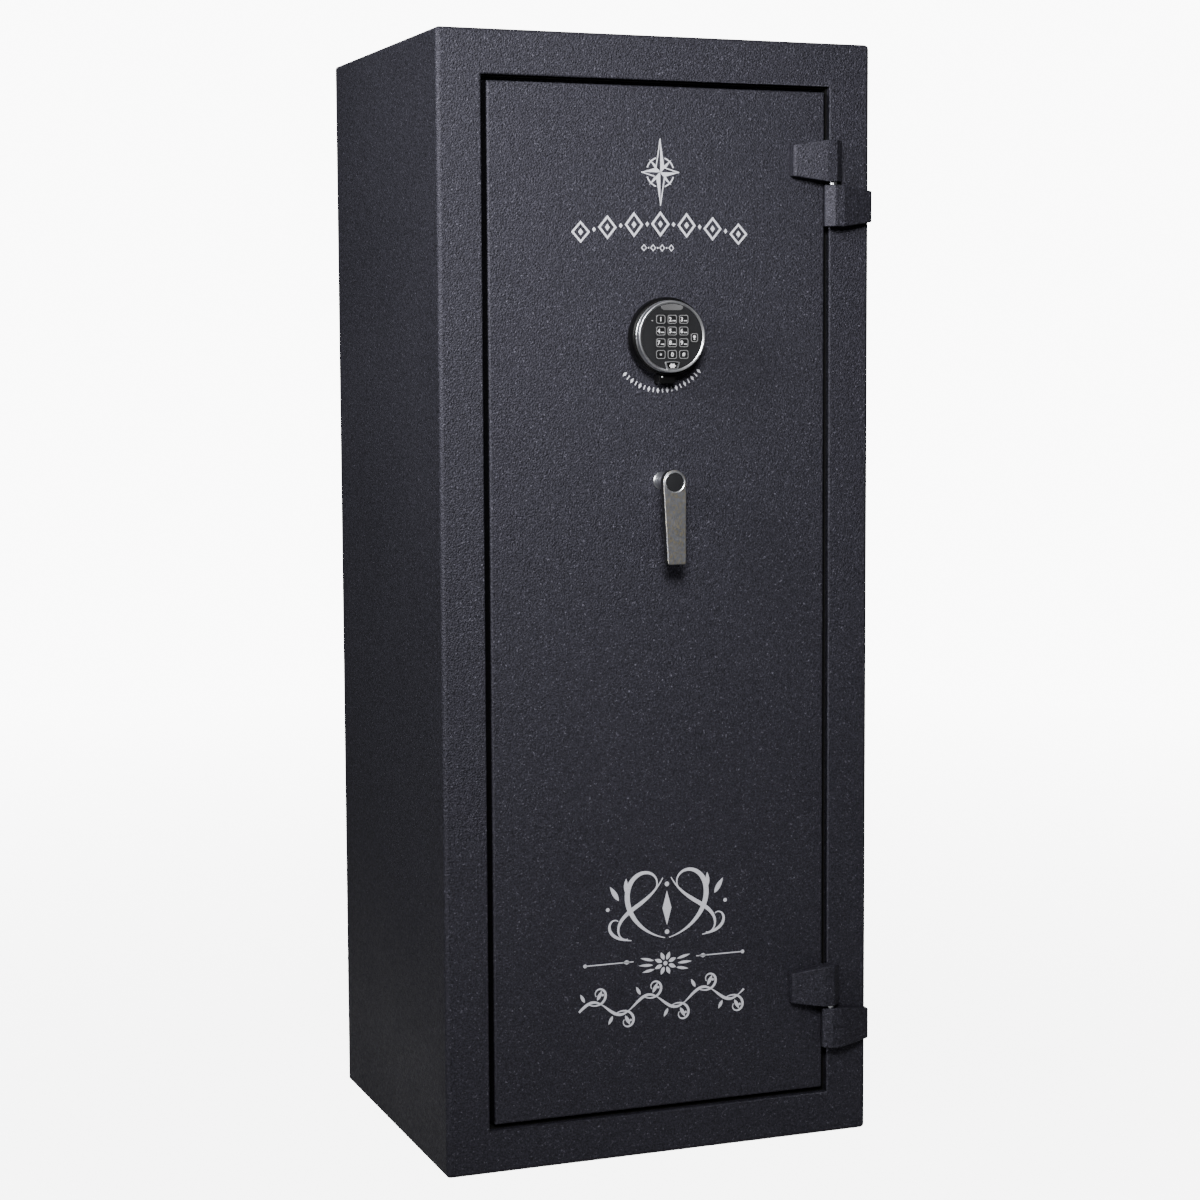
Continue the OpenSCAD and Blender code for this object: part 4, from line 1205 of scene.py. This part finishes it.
def make_door_panel():
    """Upholstered panel: a crowned pad with a stitched border, a quilting row between the pockets
    and a piping cord round its edge."""
    lo, hi = span("door_back_panel")
    x0, x1, z0, z1 = lo.x, hi.x, lo.z, hi.z
    base, full = lo.y - FRONT, hi.y - FRONT
    border = 12.5
    quilt = [pocket[0] - 38 for pocket in POCKETS[1:]] + [POCKETS[-1][0] + POCKET_H + 42]

    def groove(distance, run, width=2.4):
        return math.exp(-(distance / width) ** 2) * (0.82 + 0.18 * math.cos(2 * math.pi * run / 5.0))

    def over(x, z):
        edge = min(x - x0, x1 - x, z - z0, z1 - z)
        side_run = z if min(x - x0, x1 - x) < min(z - z0, z1 - z) else x
        turn = 1 - min(1.0, edge / 7.5)
        height = 4.2 + (full - base - 5.4) * math.sqrt(max(0.0, 1 - turn * turn))
        height += 0.9 * min(1.0, max(0.0, (edge - border) / 40))
        dip = 1.9 * groove(edge - border, side_run) if edge < border + 12 else 0.0
        if edge > border:
            near = min(abs(z - q) for q in quilt)
            dip = max(dip, 1.7 * groove(near, x))
            pull = math.exp(-(min(near, edge - border) / 13))
            dip += 0.35 * pull * (0.5 + 0.5 * noise.noise(Vector((x / 5.5, z / 5.5, 3.0))))
        dip += 0.25 * (0.5 + 0.5 * noise.noise(Vector((x / 38, z / 55, 9.0))))
        return base + height - dip

    pad = relief("door_pad", spaced(x0, x1, 3.6, 1.2, 18), spaced(z0, z1, 3.6, 1.2, 18),
                 lambda x, z: base, over)
    finish_piece(pad, "door", "panel_fabric", ("door_back_panel",), angle=80)
    ring = rounded(around(lo, hi, -2.1), 9, 8)
    path = [at(x, -(base + 5.4), z) for x, z in stepped(ring, 8)]
    finish_piece(tube("door_pad_piping", path, 2), "door", BINDING, angle=80, slot="pocket_fabric")
    a, b, c, d = x0 + border, x1 - border, z0 + border, z1 - border
    rows = [((a, z), (b, z), over) for z in quilt + [c, d]] + [((x, c), (x, d), over) for x in (a, b)]
    finish_piece(stitches("door_pad_stitches", rows, 0.42), "door", THREAD, angle=80, slot="panel_fabric")


def make_pockets():
    """Sewn pockets: hemmed cloth that stands away from the panel between its seams, bound at the mouth."""
    x0, x1 = POCKET_X
    base = span("door_pockets")[0].y - FRONT
    cloth = 1.1
    for number, (z0, parts) in enumerate(POCKETS):
        seams = [x0 + 7 + (x1 - x0 - 14) * k / parts for k in range(parts + 1)]
        top = z0 + POCKET_H - 0.9

        def inside(x, z, seams=seams, z0=z0, top=top, number=number):
            v = min(1.0, max(0.0, (z - z0 - 7) / (top - z0 - 7)))
            bulge = 0.0
            for a, b in zip(seams, seams[1:]):
                if a < x < b:
                    u = (x - a) / (b - a)
                    arch = math.sin(math.pi * u) ** 0.75
                    rise = min(1.0, v * 5.5) ** 0.6 * (0.62 + 0.38 * v)
                    bulge = 5.6 * arch * rise
                    fold = noise.noise(Vector((x / 13 + number * 5, z / 46, 1.7)))
                    cross = noise.noise(Vector((x / 40, z / 15 + number * 9, 4.1)))
                    bulge *= 1 + 0.12 * fold + 0.1 * cross * (1 - v)
                    bulge -= 0.8 * arch * math.exp(-((z - z0 - 22 - 14 * abs(u - 0.5)) / 7) ** 2)
            return base + 0.1 + max(0.0, min(6.1, bulge))

        def outside(x, z, inside=inside, z0=z0):
            hem = min(x - x0, x1 - x, z - z0)
            fold = 0.55 * min(1.0, max(0.0, (11 - hem) / 1.2)) if hem < 11 else 0.0
            fine = 0.12 * noise.noise(Vector((x / 6, z / 6, 8.0)))
            return inside(x, z) + cloth + fold * (1 if hem > 0.8 else 0.4) + fine * (hem > 2)

        xs = spaced(x0, x1, 3.0, 1.2, 12)
        zs = spaced(z0, top, 3.6, 1.2, 12)
        front = relief(f"pocket_{number + 1}_cloth", xs, zs, inside, outside)
        finish_piece(front, "door", "pocket_fabric", ("door_pockets",), angle=80)
        points = []
        for x in xs:
            i, o = inside(x, top - 4), outside(x, top - 4)
            section = rounded(rect(i - 0.05, top - 10, o + 0.55, top + 0.7), [0.2, 0.4, 0.8, 0.5], 3)
            points += [at(x, -d, z) for d, z in section]
        n, total = len(section), len(points)
        faces = between(len(xs), n) + [tuple(range(n)), tuple(range(total - n, total))]
        tape = outward(new_object(f"pocket_{number + 1}_binding", points, faces))
        finish_piece(tape, "door", BINDING, angle=80, slot="pocket_fabric")
        left, right, foot = x0 + 8.5, x1 - 8.5, z0 + 8.5
        rows = [((left, foot), (right, foot), outside),
                ((x0 + 2, top - 7.6), (x1 - 2, top - 7.6), lambda x, z, o=outside, t=top: o(x, t - 4) + 0.55)]
        rows += [((x, foot), (x, top - 10), outside) for x in (left, right)]
        rows += [((x, z0 + 9), (x, top - 10), outside)
                 for seam in seams[1:-1] for x in (seam - 1.4, seam + 1.4)]
        thread = stitches(f"pocket_{number + 1}_stitches", rows, 0.34)
        finish_piece(thread, "door", THREAD, angle=80, slot="pocket_fabric")
        width = sum(math.hypot(b - a, inside(b, top) - inside(a, top)) for a, b in zip(xs, xs[1:]))


# ---- camera and light ----

def make_camera():
    data = bpy.data.cameras.new("camera")
    cam = bpy.data.objects.new("camera", data)
    bpy.context.scene.collection.objects.link(cam)
    yaw, pitch, roll = 0.3739, -0.0892, 0.003
    ahead = Vector((math.sin(yaw) * math.cos(pitch), math.cos(yaw) * math.cos(pitch), math.sin(pitch)))
    cam.location = (-1.2729, -3.4566, 1.0964)
    cam.rotation_mode = "QUATERNION"
    aim = ahead.to_track_quat("-Z", "Y")
    cam.rotation_quaternion = Quaternion(ahead, roll) @ aim
    data.sensor_width = 36
    data.lens = 77.18
    data.shift_x = -50 / 1200
    data.shift_y = -19.2 / 1200
    data.clip_start = 0.05
    data.clip_end = 200
    bpy.context.scene.camera = cam


def make_light(name, place, aim, size, power, spread=180):
    data = bpy.data.lights.new(name, "AREA")
    data.shape = "RECTANGLE"
    data.size, data.size_y = size
    data.energy = power
    data.spread = math.radians(spread)
    lamp = bpy.data.objects.new(name, data)
    lamp.location = place
    lamp.rotation_mode = "QUATERNION"
    lamp.rotation_quaternion = (Vector(aim) - Vector(place)).to_track_quat("-Z", "Y")
    bpy.context.scene.collection.objects.link(lamp)


def make_stage():
    """Pale floor that fades out, pale surround, key and side lights from the left, top and back fills."""
    radius, count = 40000, 96
    floor = new_object("floor", [(x, y, -0.5) for x, y in circle(0, 0, radius, count)], [tuple(range(count))])
    s = Shader("floor", Specular_IOR_Level=0.1)
    distance = s.add("ShaderNodeVectorMath", Vector=s.place)
    distance.operation = "LENGTH"
    s.put(s.bsdf.inputs["Alpha"], s.level(distance.outputs["Value"], 0.34, 0.0, 0.7, 4.5))
    tone = s.ramp(s.noise(2.0, 2), (0.3, (0.8, 0.8, 0.8)), (0.7, (0.83, 0.83, 0.83)))
    floor.data.materials.append(s.shade(tone, 0.9))
    world = bpy.data.worlds.new("surround")
    world.use_nodes = True
    tree = world.node_tree
    back = tree.nodes["Background"]
    back.inputs["Color"].default_value = (1, 1, 1, 1)
    seen = tree.nodes.new("ShaderNodeLightPath").outputs["Is Camera Ray"]
    strength = tree.nodes.new("ShaderNodeMapRange")
    strength.inputs["To Min"].default_value = 0.06
    strength.inputs["To Max"].default_value = 10.0
    tree.links.new(seen, strength.inputs["Value"])
    tree.links.new(strength.outputs["Result"], back.inputs["Strength"])
    bpy.context.scene.world = world
    make_light("key", (-1.0, -2.85, 2.15), (-0.15, -0.25, 1.2), (0.7, 0.7), 37, 76)
    make_light("side", (-2.6, -1.0, 2.2), (-0.2, -0.1, 1.6), (0.5, 1.2), 25, 64)
    make_light("top", (0.0, -0.6, 5.2), (0.0, -0.4, 0.0), (5.0, 5.0), 33)
    make_light("back", (1.1, 3.3, 2.0), (0.1, 0.25, 1.0), (1.2, 1.2), 12, 48)


for make in (make_camera, make_stage, make_body, make_weld_bead, make_hinges, make_door, make_keypad,
             make_keys, make_drawer, make_battery, make_handle, make_emblem, make_arc, make_scrollwork,
             make_liners, make_floor_carpet, make_shelving, make_door_panel, make_pockets):
    make()

# CAD nodes that keep their shape
KEPT = {
    "satin_steel": ("fixed_deadbars", "locking_bars", "handle_shaft"),
    "powder_coat": ("back_plate", "boltwork_housing", "door_backing_plate"),
    "polished_chrome": ("hinge_pins", "hinge_bearings"),
    "zinc": ("bolt_carriage", "guide_studs", "shelf_clips"),
    "hardened_steel": ("hard_plate", "bolt_rack", "handle_pinion"),
    "brass": ("lock_case", "lock_bolt", "spindle_bushing"),
    "fire_board": ("fireboard_lining", "door_fireboard"),
    "seal": ("heat_seal",),
    "black_plastic": ("cord_hole_plug", "keypad_cable"),
}
for slot_name, names in KEPT.items():
    for node_name in names:
        node = NODES[node_name]
        node.data.materials.clear()
        node.data.materials.append(M[slot_name])

# Broken edges on the flat steel parts that keep their shape
for node_name, width in (("fixed_deadbars", 0.9), ("locking_bars", 1.2), ("boltwork_housing", 0.6),
                         ("shelf_clips", 0.5), ("cord_hole_plug", 0.6), ("door_backing_plate", 0.4)):
    weld = NODES[node_name].modifiers.new("weld", "WELD")
    weld.merge_threshold = 0.00002
    bevel(NODES[node_name], width, 2)
